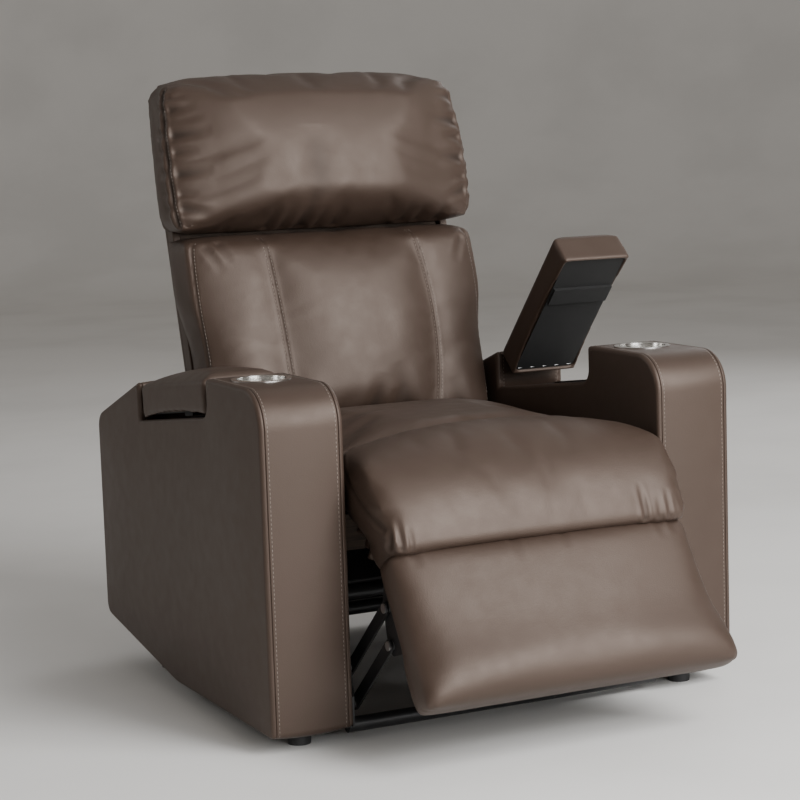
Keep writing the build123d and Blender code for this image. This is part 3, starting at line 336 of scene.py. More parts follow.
@dataclass(frozen=True)
class Metal:
    """Bare or painted metal with brushing, scuffs and a slightly uneven gloss."""

    name: str
    base: Colour
    scuff: Colour
    metallic: float
    roughness: float
    brushing: float
    lines: float = 60.0
    peel: float = 700.0
    clouds: float = 22.0

    def material(self) -> Material:
        """Build the metal.

        Returns:
            The material.
        """
        bench = NodeBench(self.name)
        place = bench.place()
        lines = bench.noise(bench.stretched(place, (40.0, 1.0, 1.0)), self.lines, detail=3.0)
        orange = bench.noise(place, self.peel)
        cloud = bench.noise(place, self.clouds, detail=4.0, warp=0.5)
        colour = bench.tint(cloud.ramp(0.55, 0.8), self.base, self.scuff)
        rough = self.roughness + (lines - 0.5) * 0.2 * self.brushing + (cloud - 0.5) * 0.18
        height = lines * self.brushing + orange * (1.0 - self.brushing)
        return bench.finish(
            {
                "Base Color": colour,
                "Metallic": self.metallic,
                "Roughness": rough.clamp(0.08, 0.9),
                "Normal": bench.bump(height, strength=0.12, reach=0.0003),
            }
        )


@dataclass(frozen=True)
class Plywood:
    """Plywood with drawn-out grain, painted dark overall as shade for the frame seen in the gaps.
    """

    name: str = "plywood"
    # pale and dark are the grain's two tones, both kept very dark as painted shade.
    pale: Colour = (0.075, 0.048, 0.031, 1.0)
    dark: Colour = (0.036, 0.023, 0.015, 1.0)
    grain: float = 5.0
    pores: float = 4.0
    roughness: float = 0.68

    def material(self) -> Material:
        """Build the wood.

        Returns:
            The material.
        """
        bench = NodeBench(self.name)
        place = bench.place()
        drawn_out = bench.stretched(place, (3.0, 60.0, 60.0))
        grain = bench.noise(drawn_out, self.grain, detail=4.0, warp=0.6)
        pores = bench.noise(bench.stretched(place, (20.0, 400.0, 400.0)), self.pores)
        colour = bench.tint(grain.ramp(0.35, 0.7), self.pale, self.dark)
        rough = self.roughness + (pores - 0.5) * 0.2
        normal = bench.bump(pores, strength=0.2, reach=0.0006)
        return bench.finish({"Base Color": colour, "Roughness": rough, "Normal": normal})


@dataclass(frozen=True)
class Plastic:
    """Moulded plastic with a fine spark-eroded texture."""

    name: str
    base: Colour
    rubbed: Colour
    roughness: float
    sparks: float = 1500.0
    clouds: float = 40.0

    def material(self) -> Material:
        """Build the plastic.

        Returns:
            The material.
        """
        bench = NodeBench(self.name)
        place = bench.place()
        spark = bench.noise(place, self.sparks)
        cloud = bench.noise(place, self.clouds, detail=3.0)
        colour = bench.tint(cloud.ramp(0.45, 0.75), self.base, self.rubbed)
        rough = self.roughness + (cloud - 0.5) * 0.14
        normal = bench.bump(spark, strength=0.15, reach=0.0003)
        return bench.finish({"Base Color": colour, "Roughness": rough, "Normal": normal})


@dataclass(frozen=True)
class Thread:
    """Waxed sewing thread with a twist."""

    name: str = "stitch_thread"
    base: Colour = (0.29, 0.245, 0.21, 1.0)
    dark: Colour = (0.14, 0.115, 0.10, 1.0)
    twists: float = 1900.0
    roughness: float = 0.6

    def material(self) -> Material:
        """Build the thread.

        Returns:
            The material.
        """
        bench = NodeBench(self.name)
        place = bench.place()
        drawn_out = bench.stretched(place, (1.0, 1.0, 2.0))
        twist = bench.noise(drawn_out, self.twists, detail=1.0)
        colour = bench.tint(twist.ramp(0.35, 0.65), self.base, self.dark)
        normal = bench.bump(twist, strength=0.3, reach=0.0003)
        return bench.finish({"Base Color": colour, "Roughness": self.roughness, "Normal": normal})


@dataclass(frozen=True)
class PaleFloor:
    """Plain matt studio floor with a trace of unevenness."""

    name: str = "studio_floor"
    base: Colour = (0.80, 0.79, 0.77, 1.0)
    shade: Colour = (0.74, 0.73, 0.71, 1.0)
    clouds: float = 1.3
    roughness: float = 0.75

    def material(self) -> Material:
        """Build the floor finish.

        Returns:
            The material.
        """
        bench = NodeBench(self.name)
        cloud = bench.noise(bench.place(), self.clouds, detail=4.0)
        colour = bench.tint(cloud.ramp(0.4, 0.7), self.base, self.shade)
        rough = self.roughness + (cloud - 0.5) * 0.1
        return bench.finish({"Base Color": colour, "Roughness": rough})


class Finishes:
    """The chair's materials, one for each slot, with the thread's and the floor's."""

    def __init__(self) -> None:
        """Build every material once."""
        black = Metal(
            "black_steel",
            base=(0.016, 0.016, 0.017, 1.0),
            scuff=(0.05, 0.05, 0.05, 1.0),
            metallic=0.2,
            roughness=0.42,
            brushing=0.0,
        )
        zinc = Metal(
            "zinc_steel",
            base=(0.55, 0.55, 0.56, 1.0),
            scuff=(0.40, 0.40, 0.41, 1.0),
            metallic=1.0,
            roughness=0.34,
            brushing=0.4,
        )
        stainless = Metal(
            "stainless",
            base=(0.72, 0.71, 0.69, 1.0),
            scuff=(0.60, 0.60, 0.59, 1.0),
            metallic=1.0,
            roughness=0.2,
            brushing=0.8,
        )
        plastic = Plastic(
            "black_plastic",
            base=(0.014, 0.014, 0.015, 1.0),
            rubbed=(0.04, 0.04, 0.042, 1.0),
            roughness=0.5,
        )
        self.slots = {
            finish.name: finish.material()
            for finish in (Leather(), NonWoven(), black, zinc, stainless, Plywood(), plastic)
        }
        self.thread = Thread().material()
        self.floor = PaleFloor().material()

    def __getitem__(self, slot: str) -> Material:
        """Material of a slot."""
        return self.slots[slot]


def line_distance(
    places: np.ndarray, line: Line | np.ndarray
) -> tuple[np.ndarray, np.ndarray]:
    """Distance of points from a line, and how far along it they are.

    Args:
        places: The points.
        line: The line's own points.

    Returns:
        Distances in the points' unit, and shares of the length from 0 to 1.
    """
    spots = np.array([tuple(p) for p in line])
    runs = np.linalg.norm(np.diff(spots, axis=0), axis=1)
    total = max(runs.sum(), 1e-9)
    best = np.full(len(places), 1e9)
    along = np.zeros(len(places))
    gone = 0.0
    for start, end, run in zip(spots[:-1], spots[1:], runs):
        step = end - start
        share = np.clip(((places - start) @ step) / max(run * run, 1e-12), 0, 1)
        gap = np.linalg.norm(places - start - share[:, None] * step, axis=1)
        closer = gap < best
        best = np.where(closer, gap, best)
        along = np.where(closer, (gone + share * run) / total, along)
        gone += run
    return best, along


def new_object(name: str, mesh: Mesh) -> Object:
    """Object for a mesh, linked into the scene.

    Args:
        name: Object name.
        mesh: Its mesh.

    Returns:
        The object.
    """
    made = bpy.data.objects.new(name, mesh)
    bpy.context.scene.collection.objects.link(made)
    return made


def drop(thing: Object) -> None:
    """Remove an object and its mesh.

    Args:
        thing: The object.
    """
    mesh = thing.data
    bpy.data.objects.remove(thing)
    if mesh is not None and mesh.users == 0:
        bpy.data.meshes.remove(mesh)


def baked(work: Object) -> Mesh:
    """Work out an object's modifiers and remove the object.

    Args:
        work: Object that is used up.

    Returns:
        Its plain mesh.
    """
    bpy.context.view_layer.update()
    graph = bpy.context.evaluated_depsgraph_get()
    mesh = bpy.data.meshes.new_from_object(work.evaluated_get(graph))
    drop(work)
    return mesh


def smooth_shade(mesh: Mesh) -> None:
    """Shade every face smooth."""
    mesh.polygons.foreach_set("use_smooth", [True] * len(mesh.polygons))


def tidy_mesh(mesh: Mesh) -> None:
    """Merge doubled points and turn every face outwards.

    Args:
        mesh: Mesh that is changed in place.
    """
    work = bmesh.new()
    work.from_mesh(mesh)
    bmesh.ops.remove_doubles(work, verts=work.verts, dist=SMALLEST_GAP)
    bmesh.ops.recalc_face_normals(work, faces=work.faces)
    work.to_mesh(mesh)
    work.free()


def plain_piece(
    name: str,
    places: Sequence[Sequence[float]],
    faces: Sequence[Sequence[int]],
    material: Material,
) -> Object:
    """Smooth-shaded object from points and faces.

    Args:
        name: Piece name.
        places: Points in the chair's frame, in metres.
        faces: Point numbers of each face.
        material: Finish of the whole piece.

    Returns:
        The piece.
    """
    mesh = bpy.data.meshes.new(name)
    mesh.from_pydata([tuple(p) for p in places], [], [tuple(f) for f in faces])
    tidy_mesh(mesh)
    smooth_shade(mesh)
    mesh.materials.append(material)
    return new_object(name, mesh)


def ring_faces(rings: int, count: int) -> list[list[int]]:
    """Faces between closed rings of points.

    Args:
        rings: Number of rings.
        count: Points in each ring.

    Returns:
        Corner numbers of each face.
    """
    faces = []
    for base in range(0, (rings - 1) * count, count):
        for i in range(count):
            j = (i + 1) % count
            faces.append([base + i, base + j, base + count + j, base + count + i])
    return faces


class Outline:
    """Side-view lines (y, z) in millimetres."""

    LONGEST_RUN = 14.0  # Between points of a straight line.
    ARC_RUN = 5.0  # Between points of a rounded corner.
    ARC_DEGREES = 10  # Turn between points of a rounded corner.
    NO_RUN = 0.02  # Points no further apart are one point.

    @staticmethod
    def rounded(corners: Sequence[tuple[float, float, float]]) -> np.ndarray:
        """Closed line through corners with radii, listed anticlockwise.

        Args:
            corners: Corners as (y, z, radius).

        Returns:
            Points as an array of (y, z).
        """
        stops: list[np.ndarray] = []
        count = len(corners)
        for i, (y, z, radius) in enumerate(corners):
            here = np.array([y, z])
            back = np.array(corners[i - 1][:2]) - here
            ahead = np.array(corners[(i + 1) % count][:2]) - here
            back /= np.linalg.norm(back)
            ahead /= np.linalg.norm(ahead)
            if radius == 0:
                stops.append(here)
                continue
            half = math.acos(float(np.clip(back @ ahead, -1, 1))) / 2
            centre = here + (back + ahead) / np.linalg.norm(back + ahead) * radius / math.sin(half)
            start = here + back * radius / math.tan(half) - centre
            end = here + ahead * radius / math.tan(half) - centre
            sweep = math.pi - 2 * half
            by_run = int(sweep * radius / Outline.ARC_RUN)
            pieces = max(3, by_run, int(math.degrees(sweep) / Outline.ARC_DEGREES))
            for k in range(pieces + 1):
                share = k / pieces
                mixed = start * math.sin((1 - share) * sweep) + end * math.sin(share * sweep)
                stops.append(centre + mixed / math.sin(sweep))
        return Outline.spaced(stops)

    @staticmethod
    def spaced(stops: Sequence[np.ndarray]) -> np.ndarray:
        """Closed line with its long runs divided.

        Args:
            stops: The line's corners.

        Returns:
            Points as an array of (y, z).
        """
        points = []
        for i, stop in enumerate(stops):
            ahead = stops[(i + 1) % len(stops)]
            parts = max(1, int(np.linalg.norm(ahead - stop) / Outline.LONGEST_RUN))
            points.extend(stop + (ahead - stop) * k / parts for k in range(parts))
        runs = [np.linalg.norm(p - points[i - 1]) for i, p in enumerate(points)]
        return np.array([p for p, run in zip(points, runs) if run > Outline.NO_RUN])

    @staticmethod
    def inset(points: np.ndarray, distance: float | np.ndarray) -> np.ndarray:
        """Draw in a closed anticlockwise line.

        Args:
            points: The line.
            distance: How far in, for the whole line or for each point.

        Returns:
            The new line.
        """
        ahead = np.roll(points, -1, axis=0) - points
        ahead /= np.linalg.norm(ahead, axis=1, keepdims=True)
        left = np.stack([-ahead[:, 1], ahead[:, 0]], axis=1)
        before = np.roll(left, 1, axis=0)
        spread_out = 1 + (left * before).sum(axis=1, keepdims=True)
        return points + (left + before) / np.maximum(spread_out, 0.35) * distance

    @staticmethod
    def distance(points: np.ndarray, line: np.ndarray) -> np.ndarray:
        """Distance of each point from a closed line."""
        return line_distance(points, np.concatenate([line, line[:1]]))[0]


EASE_TURNS = (0.0, 0.12, 0.3, 0.5, 0.72, 0.9, 1.0)  # Shares of an eased edge's quarter turn.
MIDDLE_SHARES = (0.12, 0.3, 0.5, 0.7, 0.88)  # Where the rings between two edges lie.
FILL_ROW = 0.87  # Distance between rows of inner points, in fill steps.
FILL_CLEAR = 0.45  # Distance that inner points keep from the rim, in fill steps.
CROWN_POWER = 1.6  # How sharply the padding rises from the rim.


@dataclass(frozen=True)
class Slab:
    """Piece with a side-view outline, made solid along X with eased edges.

    Lengths are in millimetres. ease rounds the edges, crown pads the faces, crown_run is
    the distance from the edge over which a face's padding rises, and crown_share weakens
    the side's padding point by point.
    """

    outline: np.ndarray
    x_low: float
    x_high: float
    ease_low: float
    ease_high: float
    side_crown: float = 0.0
    face_crown_low: float = 0.0
    face_crown_high: float = 0.0
    fill_step: float = 26.0
    crown_run: float = 60.0
    crown_share: np.ndarray | None = None

    def spot(self, along: float, u: float, v: float, side: int) -> Vector:
        """Place of a point of the outline (u, v) at a distance along the thickness."""
        return at(side * along, u, v)

    def sections(self) -> list[tuple[float, float]]:
        """Places along X with the distance that the outline is drawn in there.

        Returns:
            Pairs of X and inset in millimetres.
        """
        low = []
        high = []
        for share in EASE_TURNS:
            angle = share * math.pi / 2
            shift = 1 - math.sin(angle)
            draw = 1 - math.cos(angle)
            low.append((self.x_low + self.ease_low * draw, self.ease_low * shift))
            high.append((self.x_high - self.ease_high * draw, self.ease_high * shift))
        start, end = low[-1][0], high[-1][0]
        middle = []
        for share in MIDDLE_SHARES:
            swell = self.side_crown * (1 - (2 * share - 1) ** 2)
            middle.append((start + (end - start) * share, -swell))
        return low + middle + high[::-1]

    def cap(self, ring: np.ndarray, crown: float) -> tuple[np.ndarray, np.ndarray, list[list[int]]]:
        """Fill one end.

        Args:
            ring: The end's outline.
            crown: Height of the padding in the middle.

        Returns:
            Points, their padding height and the faces.
        """
        low, high = ring.min(axis=0), ring.max(axis=0)
        inner = []
        for row, z in enumerate(np.arange(low[1], high[1], self.fill_step * FILL_ROW)):
            shift = self.fill_step / 2 * (row % 2)
            inner.extend((y + shift, z) for y in np.arange(low[0], high[0], self.fill_step))
        grid = np.array(inner)
        far = Outline.distance(grid, ring) > self.fill_step * FILL_CLEAR
        pool = [Vector(p) for p in ring] + [Vector(p) for p in grid[far]]
        edge = list(range(len(ring)))
        made = delaunay_2d_cdt(pool, [], [edge], 1, 1e-4)
        places = np.array([tuple(p) for p in made[0]])
        reach = Outline.distance(places, ring) / self.crown_run
        return places, crown * (1 - np.exp(-(reach**CROWN_POWER))), [list(f) for f in made[2]]

    def piece(self, name: str, material: Material, side: int = 1) -> Object:
        """Build the slab.

        Args:
            name: Piece name.
            material: Its finish.
            side: 1 for the sitter's left, -1 for the right.

        Returns:
            The piece.
        """
        places: list[Vector] = []
        sections = self.sections()
        count = len(self.outline)
        share = np.ones((count, 1)) if self.crown_share is None else self.crown_share[:, None]
        rings = [Outline.inset(self.outline, d if d > 0 else d * share) for _, d in sections]
        for (x, _), ring in zip(sections, rings):
            places.extend(self.spot(x, y, z, side) for y, z in ring)
        faces = ring_faces(len(sections), count)
        ends = ((0, -self.face_crown_low, self.x_low), (-1, self.face_crown_high, self.x_high))
        for which, crown, x in ends:
            spots, height, tiles = self.cap(rings[which], abs(crown))
            base = len(places)
            lift = height * (1 if crown >= 0 else -1)
            places.extend(self.spot(x + h, y, z, side) for (y, z), h in zip(spots, lift))
            faces.extend([base + k for k in tile] for tile in tiles)
        return plain_piece(name, places, faces, material)


@dataclass(frozen=True)
class LeanedSlab(Slab):
    """Slab whose outline (x, z) lies on the leaning back and whose thickness runs rearwards."""

    def spot(self, along: float, u: float, v: float, side: int) -> Vector:
        """Place of a point of the outline at a distance behind the back board's face."""
        return at(u, back_plane(v) + along, v)


class Fade(Enum):
    """How a pressed line dies away along its length."""

    NONE = "none"
    ENDS = "ends"
    TAIL = "tail"


@dataclass(frozen=True)
class Mark:
    """A line pressed into a soft skin, with the skin raised beside it.

    width and depth are in millimetres, and rim is the share raised at each side.
    """

    path: Line
    width: float
    depth: float
    rim: float = 0.25
    fade: Fade = Fade.NONE


class Skin:
    """A soft skin that is shaped step by step and then becomes a piece."""

    CLOTH_STEPS = 20
    RAY_LENGTH = 3.0  # In metres.
    RIM_PLACE, RIM_WIDTH = 1.75, 0.75  # The raised rim of a mark, in widths of the mark.
    DARKEST_FOLD = 5.0  # Depth in millimetres at which the painted shade of a fold is darkest.
    TUCK_SHARE = 0.13  # Share of the height that the tuck takes.
    WIDEN_FROM, WIDEN_OVER = 0.72, 0.22  # The sides that widen, in half widths.
    WIDEN_RISE = 120.0  # Height in millimetres over which the widening grows.

    def __init__(self, mesh: Mesh) -> None:
        """Take over a closed mesh in the chair's frame."""
        self.mesh = mesh
        self.tree: BVHTree | None = None

    @classmethod
    def over_node(cls, node: str, voxel: float) -> "Skin":
        """Even skin over a solid of the frame.

        Args:
            node: The solid's name.
            voxel: Size of the skin's squares in millimetres.

        Returns:
            The skin.
        """
        mesh = frame["nodes"][node].data.copy()
        tidy_mesh(mesh)
        work = new_object("skin_work", mesh)
        remesh = work.modifiers.new("squares", "REMESH")
        remesh.mode = "VOXEL"
        remesh.voxel_size = voxel * MM
        return cls(baked(work))

    @property
    def places(self) -> np.ndarray:
        """Points as an array.

        Returns:
            One row for each point.
        """
        flat = np.empty(len(self.mesh.vertices) * 3)
        self.mesh.vertices.foreach_get("co", flat)
        return flat.reshape(-1, 3)

    @places.setter
    def places(self, values: np.ndarray) -> None:
        """Move every point.

        Args:
            values: New places, one row for each point.
        """
        self.mesh.vertices.foreach_set("co", values.astype(np.float64).ravel())
        self.mesh.update()
        self.tree = None

    @property
    def normals(self) -> np.ndarray:
        """Outward direction at every point.

        Returns:
            One row for each point.
        """
        flat = np.empty(len(self.mesh.vertices) * 3, np.float32)
        self.mesh.vertex_normals.foreach_get("vector", flat)
        return flat.reshape(-1, 3).astype(float)

    def relax(self, rounds: int, held: np.ndarray | None = None) -> None:
        """Ease the skin towards the mean of its neighbours.

        Args:
            rounds: How many times.
            held: Share by which each point stays put.
        """
        pairs = np.empty(len(self.mesh.edges) * 2, np.int32)
        self.mesh.edges.foreach_get("vertices", pairs)
        a, b = pairs.reshape(-1, 2).T
        places = self.places
        count = np.bincount(np.concatenate([a, b]), minlength=len(places))[:, None]
        free = 0.5 if held is None else 0.5 * (1 - held[:, None])
        for _ in range(rounds):
            total = np.stack(
                [
                    np.bincount(a, places[b, k], len(places))
                    + np.bincount(b, places[a, k], len(places))
                    for k in range(3)
                ],
                axis=1,
            )
            places = places + (total / np.maximum(count, 1) - places) * free
        self.places = places

    def swell(self, distance: float, held: np.ndarray) -> None:
        """Move the skin outwards by a distance in millimetres, less where it is held."""
        self.places = self.places + self.normals * distance * MM * (1 - held)[:, None]

    def near_planes(self, planes: Iterable[Rest], reach: float) -> np.ndarray:
        """How far each point is held by flat supports.

        Args:
            planes: Supports as a point and the direction out of the skin.
            reach: Distance over which the hold dies away, in millimetres.

        Returns:
            Shares from 0 to 1.
        """
        held = np.zeros(len(self.mesh.vertices))
        for point, outward in planes:
            depth = (np.array(point) - self.places) @ np.array(outward.normalized())
            held = np.maximum(held, np.clip(1 - (depth / MM - 2) / reach, 0, 1))
        return held

    def near_lines(self, lines: Iterable[Line], reach: float) -> np.ndarray:
        """How far each point is held by sewn lines.

        Args:
            lines: The lines.
            reach: Distance over which the hold dies away, in millimetres.

        Returns:
            Shares from 0 to 1.
        """
        held = np.zeros(len(self.mesh.vertices))
        for line in lines:
            gap, _ = line_distance(self.places, line)
            held = np.maximum(held, np.clip(1.3 - gap / (reach * MM), 0, 1))
        return held

    def puff(self, pressure: float, spare: float, held: np.ndarray, cap: float) -> None:
        """Blow the skin up as cloth and keep the result.

        Args:
            pressure: Air pressure inside.
            spare: Share by which the cloth is cut larger than the form.
            held: Share by which each point is sewn down.
            cap: Longest move of a point, in millimetres.
        """
        work = new_object("skin_work", self.mesh.copy())
        group = work.vertex_groups.new(name="sewn")
        for level in np.unique(np.round(held, 1)):
            if level > 0:
                chosen = np.nonzero(np.round(held, 1) == level)[0]
                group.add([int(i) for i in chosen], float(level), "REPLACE")
        cloth = work.modifiers.new("cloth", "CLOTH")
        settings = cloth.settings
        settings.quality = 4
        settings.mass = 0.3
        settings.tension_stiffness = 12.0
        settings.compression_stiffness = 6.0
        settings.shear_stiffness = 4.0
        settings.bending_stiffness = 0.3
        settings.use_pressure = True
        settings.uniform_pressure_force = pressure
        settings.shrink_min = -spare
        settings.vertex_group_mass = "sewn"
        settings.effector_weights.gravity = 0.0
        cloth.collision_settings.use_collision = False
        cloth.collision_settings.use_self_collision = False
        cloth.point_cache.frame_start = 1
        cloth.point_cache.frame_end = self.CLOTH_STEPS
        scene = bpy.context.scene
        for step in range(1, self.CLOTH_STEPS + 1):
            scene.frame_set(step)
        blown = Skin(baked(work))
        before, after = self.places, blown.places
        bpy.data.meshes.remove(blown.mesh)
        scene.frame_set(1)
        move = after - before
        length = np.linalg.norm(move, axis=1, keepdims=True)
        limit = cap * MM
        self.places = before + move * np.minimum(1.0, limit / np.maximum(length, 1e-9))

    def fit(self, low: Vector, high: Vector) -> None:
        """Stretch the skin along each axis to fill a box.

        Args:
            low: Lower corner of the box.
            high: Upper corner of the box.
        """
        places = self.places
        mine_low, mine_high = places.min(axis=0), places.max(axis=0)
        share = (places - mine_low) / (mine_high - mine_low)
        self.places = np.array(low) + share * (np.array(high) - np.array(low))

    def subdivide(self) -> None:
        """Round the skin off with one subdivision."""
        work = new_object("skin_work", self.mesh)
        smooth = work.modifiers.new("round", "SUBSURF")
        smooth.levels = 1
        smooth.render_levels = 1
        self.mesh = baked(work)
        self.tree = None

    def cast(self, points: Iterable[Vector], direction: Vector, start: float = 0.6) -> Line:
        """Points where rays through given points meet the skin.

        Args:
            points: Points that the rays pass through.
            direction: Direction of the rays.
            start: How far before each point its ray begins, in metres.

        Returns:
            The places met, with the misses left out.
        """
        if self.tree is None:
            faces = [tuple(p.vertices) for p in self.mesh.polygons]
            self.tree = BVHTree.FromPolygons([Vector(p) for p in self.places], faces)
        way = direction.normalized()
        hits = [self.tree.ray_cast(p - way * start, way, self.RAY_LENGTH)[0] for p in points]
        return [hit for hit in hits if hit is not None]

    def press(self, marks: Iterable[Mark]) -> None:
        """Press lines into the skin and store how far each point went, for the leather's painted
        crease shade.

        Args:
            marks: The lines.
        """
        places, normals = self.places, self.normals
        sunk = np.zeros(len(places))
        for mark in marks:
            if len(mark.path) < 2:
                continue
            spots = np.array([tuple(p) for p in mark.path])
            margin = mark.width * 4 * MM
            low, high = spots.min(axis=0) - margin, spots.max(axis=0) + margin
            chosen = np.nonzero(np.all((places > low) & (places < high), axis=1))[0]
            gap, along = line_distance(places[chosen], mark.path)
            ratio = gap / (mark.width * MM)
            beside = (ratio - self.RIM_PLACE) / self.RIM_WIDTH
            shape = np.exp(-(ratio**2)) - mark.rim * np.exp(-(beside**2))
            if mark.fade is Fade.ENDS:
                shape *= np.sin(np.pi * np.clip(along, 0, 1)) ** 0.7
            elif mark.fade is Fade.TAIL:
                shape *= np.clip(1 - along, 0, 1) ** 0.8
            sunk[chosen] += shape * mark.depth
        self.places = places - normals * (sunk * MM)[:, None]
        # The leather paints the stored depth as shade in the creases.
        stored = self.mesh.attributes.new("fold", "FLOAT", "POINT")
        crease_shade = np.clip(sunk / self.DARKEST_FOLD, -1, 1)
        stored.data.foreach_set("value", crease_shade.astype(np.float32))

    def ripple(self, height: float, waves: Sequence[tuple[Vector, float]]) -> None:
        """Uneven stuffing as slow waves along the normals.

        Args:
            height: Largest rise in millimetres.
            waves: Directions with waves per metre, and their phases.
        """
        places = self.places
        rise = sum(np.sin(places @ np.array(way) * 2 * math.pi + phase) for way, phase in waves)
        self.places = places + self.normals * (rise * height * MM / len(waves))[:, None]

    def bulge(self, low: float, high: float, half: float, rise: float, tuck: float) -> None:
        """Round the front between two heights and tuck its lower edge back.

        Args:
            low: Lower height in millimetres.
            high: Upper height in millimetres.
            half: Half the width in millimetres.
            rise: Largest rise in millimetres.
            tuck: Depth of the tuck at the lower edge in millimetres.
        """
        places, normals = self.places, self.normals
        share = np.clip((places[:, 2] / MM - low) / (high - low), 0, 1)
        across = np.clip(1 - (places[:, 0] / (half * MM)) ** 4, 0, 1)
        ahead = np.clip(-normals[:, 1], 0, 1)
        tucked = tuck * np.exp(-((share / self.TUCK_SHARE) ** 2))
        move = ahead * (rise * np.sin(math.pi * share) * across - tucked)
        self.places = places + normals * (move * MM)[:, None]

    def widen(self, half: float, extra: float, above: float) -> None:
        """Push both sides outwards above a height.

        Args:
            half: Half the width in millimetres.
            extra: Largest push in millimetres.
            above: Height at which the push begins, in millimetres.
        """
        places = self.places
        out = np.abs(places[:, 0]) / (half * MM)
        share = np.clip((out - self.WIDEN_FROM) / self.WIDEN_OVER, 0, 1)
        lift = np.clip((places[:, 2] / MM - above) / self.WIDEN_RISE, 0, 1)
        push = share**2 * (3 - 2 * share) * lift**2 * (3 - 2 * lift)
        places[:, 0] += np.sign(places[:, 0]) * extra * MM * push
        self.places = places

    def piece(self, name: str, material: Material) -> Object:
        """Turn the skin into a finished object.

        Args:
            name: Piece name.
            material: Its finish.

        Returns:
            The piece.
        """
        self.mesh.name = name
        self.mesh.materials.clear()
        self.mesh.materials.append(material)
        smooth_shade(self.mesh)
        return new_object(name, self.mesh)


class Sewing:
    """Geometry Nodes tree that sets grains of thread or metal along lines."""

    def __init__(self) -> None:
        """Build the tree with its named inputs."""
        tree = bpy.data.node_groups.new("sewing_rows", "GeometryNodeTree")
        self.tree = tree
        self.sockets: dict[str, str] = {}
        kinds = {
            "Lines": "Geometry",
            "Pitch": "Float",
            "Length": "Float",
            "Thickness": "Float",
            "Thread": "Material",
        }
        for name, kind in kinds.items():
            made = tree.interface.new_socket(
                name=name, in_out="INPUT", socket_type=f"NodeSocket{kind}"
            )
            self.sockets[name] = made.identifier
        tree.interface.new_socket(name="Rows", in_out="OUTPUT", socket_type="NodeSocketGeometry")
        given = tree.nodes.new("NodeGroupInput").outputs
        leave = tree.nodes.new("NodeGroupOutput")

        def step(kind: str, inputs: dict[str, Any], **settings: Any) -> NodeSocket:
            """Add a node and take its first output."""
            return add_node(tree, kind, settings, inputs).outputs[0]

        curve = step("GeometryNodeMeshToCurve", {"Mesh": given["Lines"]})
        places = {"Curve": curve, "Length": given["Pitch"]}
        spaced = step("GeometryNodeResampleCurve", places, mode="LENGTH")
        ball = step("GeometryNodeMeshUVSphere", {"Segments": 6, "Rings": 5, "Radius": 0.5})
        thick = given["Thickness"]
        shape = step("ShaderNodeCombineXYZ", {"X": thick, "Y": thick, "Z": given["Length"]})
        grain = step("GeometryNodeTransform", {"Geometry": ball, "Scale": shape})
        tangent = step("GeometryNodeInputTangent", {})
        turned = step("FunctionNodeAlignRotationToVector", {"Vector": tangent}, axis="Z")
        laid = {"Points": spaced, "Instance": grain, "Rotation": turned}
        rows = step("GeometryNodeInstanceOnPoints", laid)
        real = step("GeometryNodeRealizeInstances", {"Geometry": rows})
        dressed = step("GeometryNodeSetMaterial", {"Geometry": real, "Material": given["Thread"]})
        tree.links.new(dressed, leave.inputs[0])

    def rows(
        self,
        name: str,
        lines: Sequence[Line],
        thread: Material,
        pitch: float = 7.0,
        length: float = 5.0,
        thickness: float = 1.3,
    ) -> Object:
        """Sew along lines.

        Args:
            name: Piece name.
            lines: Lines in the chair's frame.
            thread: Finish of the grains.
            pitch: Distance between stitches in millimetres.
            length: Length of a stitch in millimetres.
            thickness: Thickness of the thread in millimetres.

        Returns:
            One plain mesh piece with every stitch.
        """
        places: list[Vector] = []
        edges: list[tuple[int, int]] = []
        for line in lines:
            base = len(places)
            places.extend(line)
            edges.extend((base + i, base + i + 1) for i in range(len(line) - 1))
        mesh = bpy.data.meshes.new(name + "_lines")
        mesh.from_pydata([tuple(p) for p in places], edges, [])
        work = new_object("sewing_work", mesh)
        rows = work.modifiers.new("rows", "NODES")
        rows.node_group = self.tree
        values = {"Pitch": pitch * MM, "Length": length * MM, "Thickness": thickness * MM}
        for key, value in values.items():
            rows[self.sockets[key]] = value
        rows[self.sockets["Thread"]] = thread
        sewn = baked(work)
        sewn.name = name
        smooth_shade(sewn)
        return new_object(name, sewn)


class Side(Enum):
    """Sides of the chair, named from the seat."""

    LEFT = 1
    RIGHT = -1

    @property
    def word(self) -> str:
        """The side in words."""
        return self.name.lower()


class Workshop:
    """What every sub-assembly needs: the finishes and the sewing tree."""

    def __init__(self) -> None:
        """Set up finishes and sewing."""
        self.finishes = Finishes()
        self.leather = self.finishes["brown_leather"]
        self.sewing = Sewing()

    def settle(
        self,
        piece: Object,
        body: str,
        replaces: Sequence[str] = (),
        slot: str = "brown_leather",
    ) -> None:
        """Fix a piece to its body and hide the solids that it stands for.

        Args:
            piece: The finished object.
            body: Body that it rides on.
            replaces: Solids that it stands for.
            slot: Not used.
        """
        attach(piece, body)
        if replaces:
            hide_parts(*replaces)
        LOG.info("%s on %s: %d faces", piece.name, body, len(piece.data.polygons))

    def sew(self, name: str, lines: Sequence[Line], body: str) -> None:
        """Sew rows of thread onto a body's leather."""
        self.settle(self.sewing.rows(name, lines, self.finishes.thread), body)


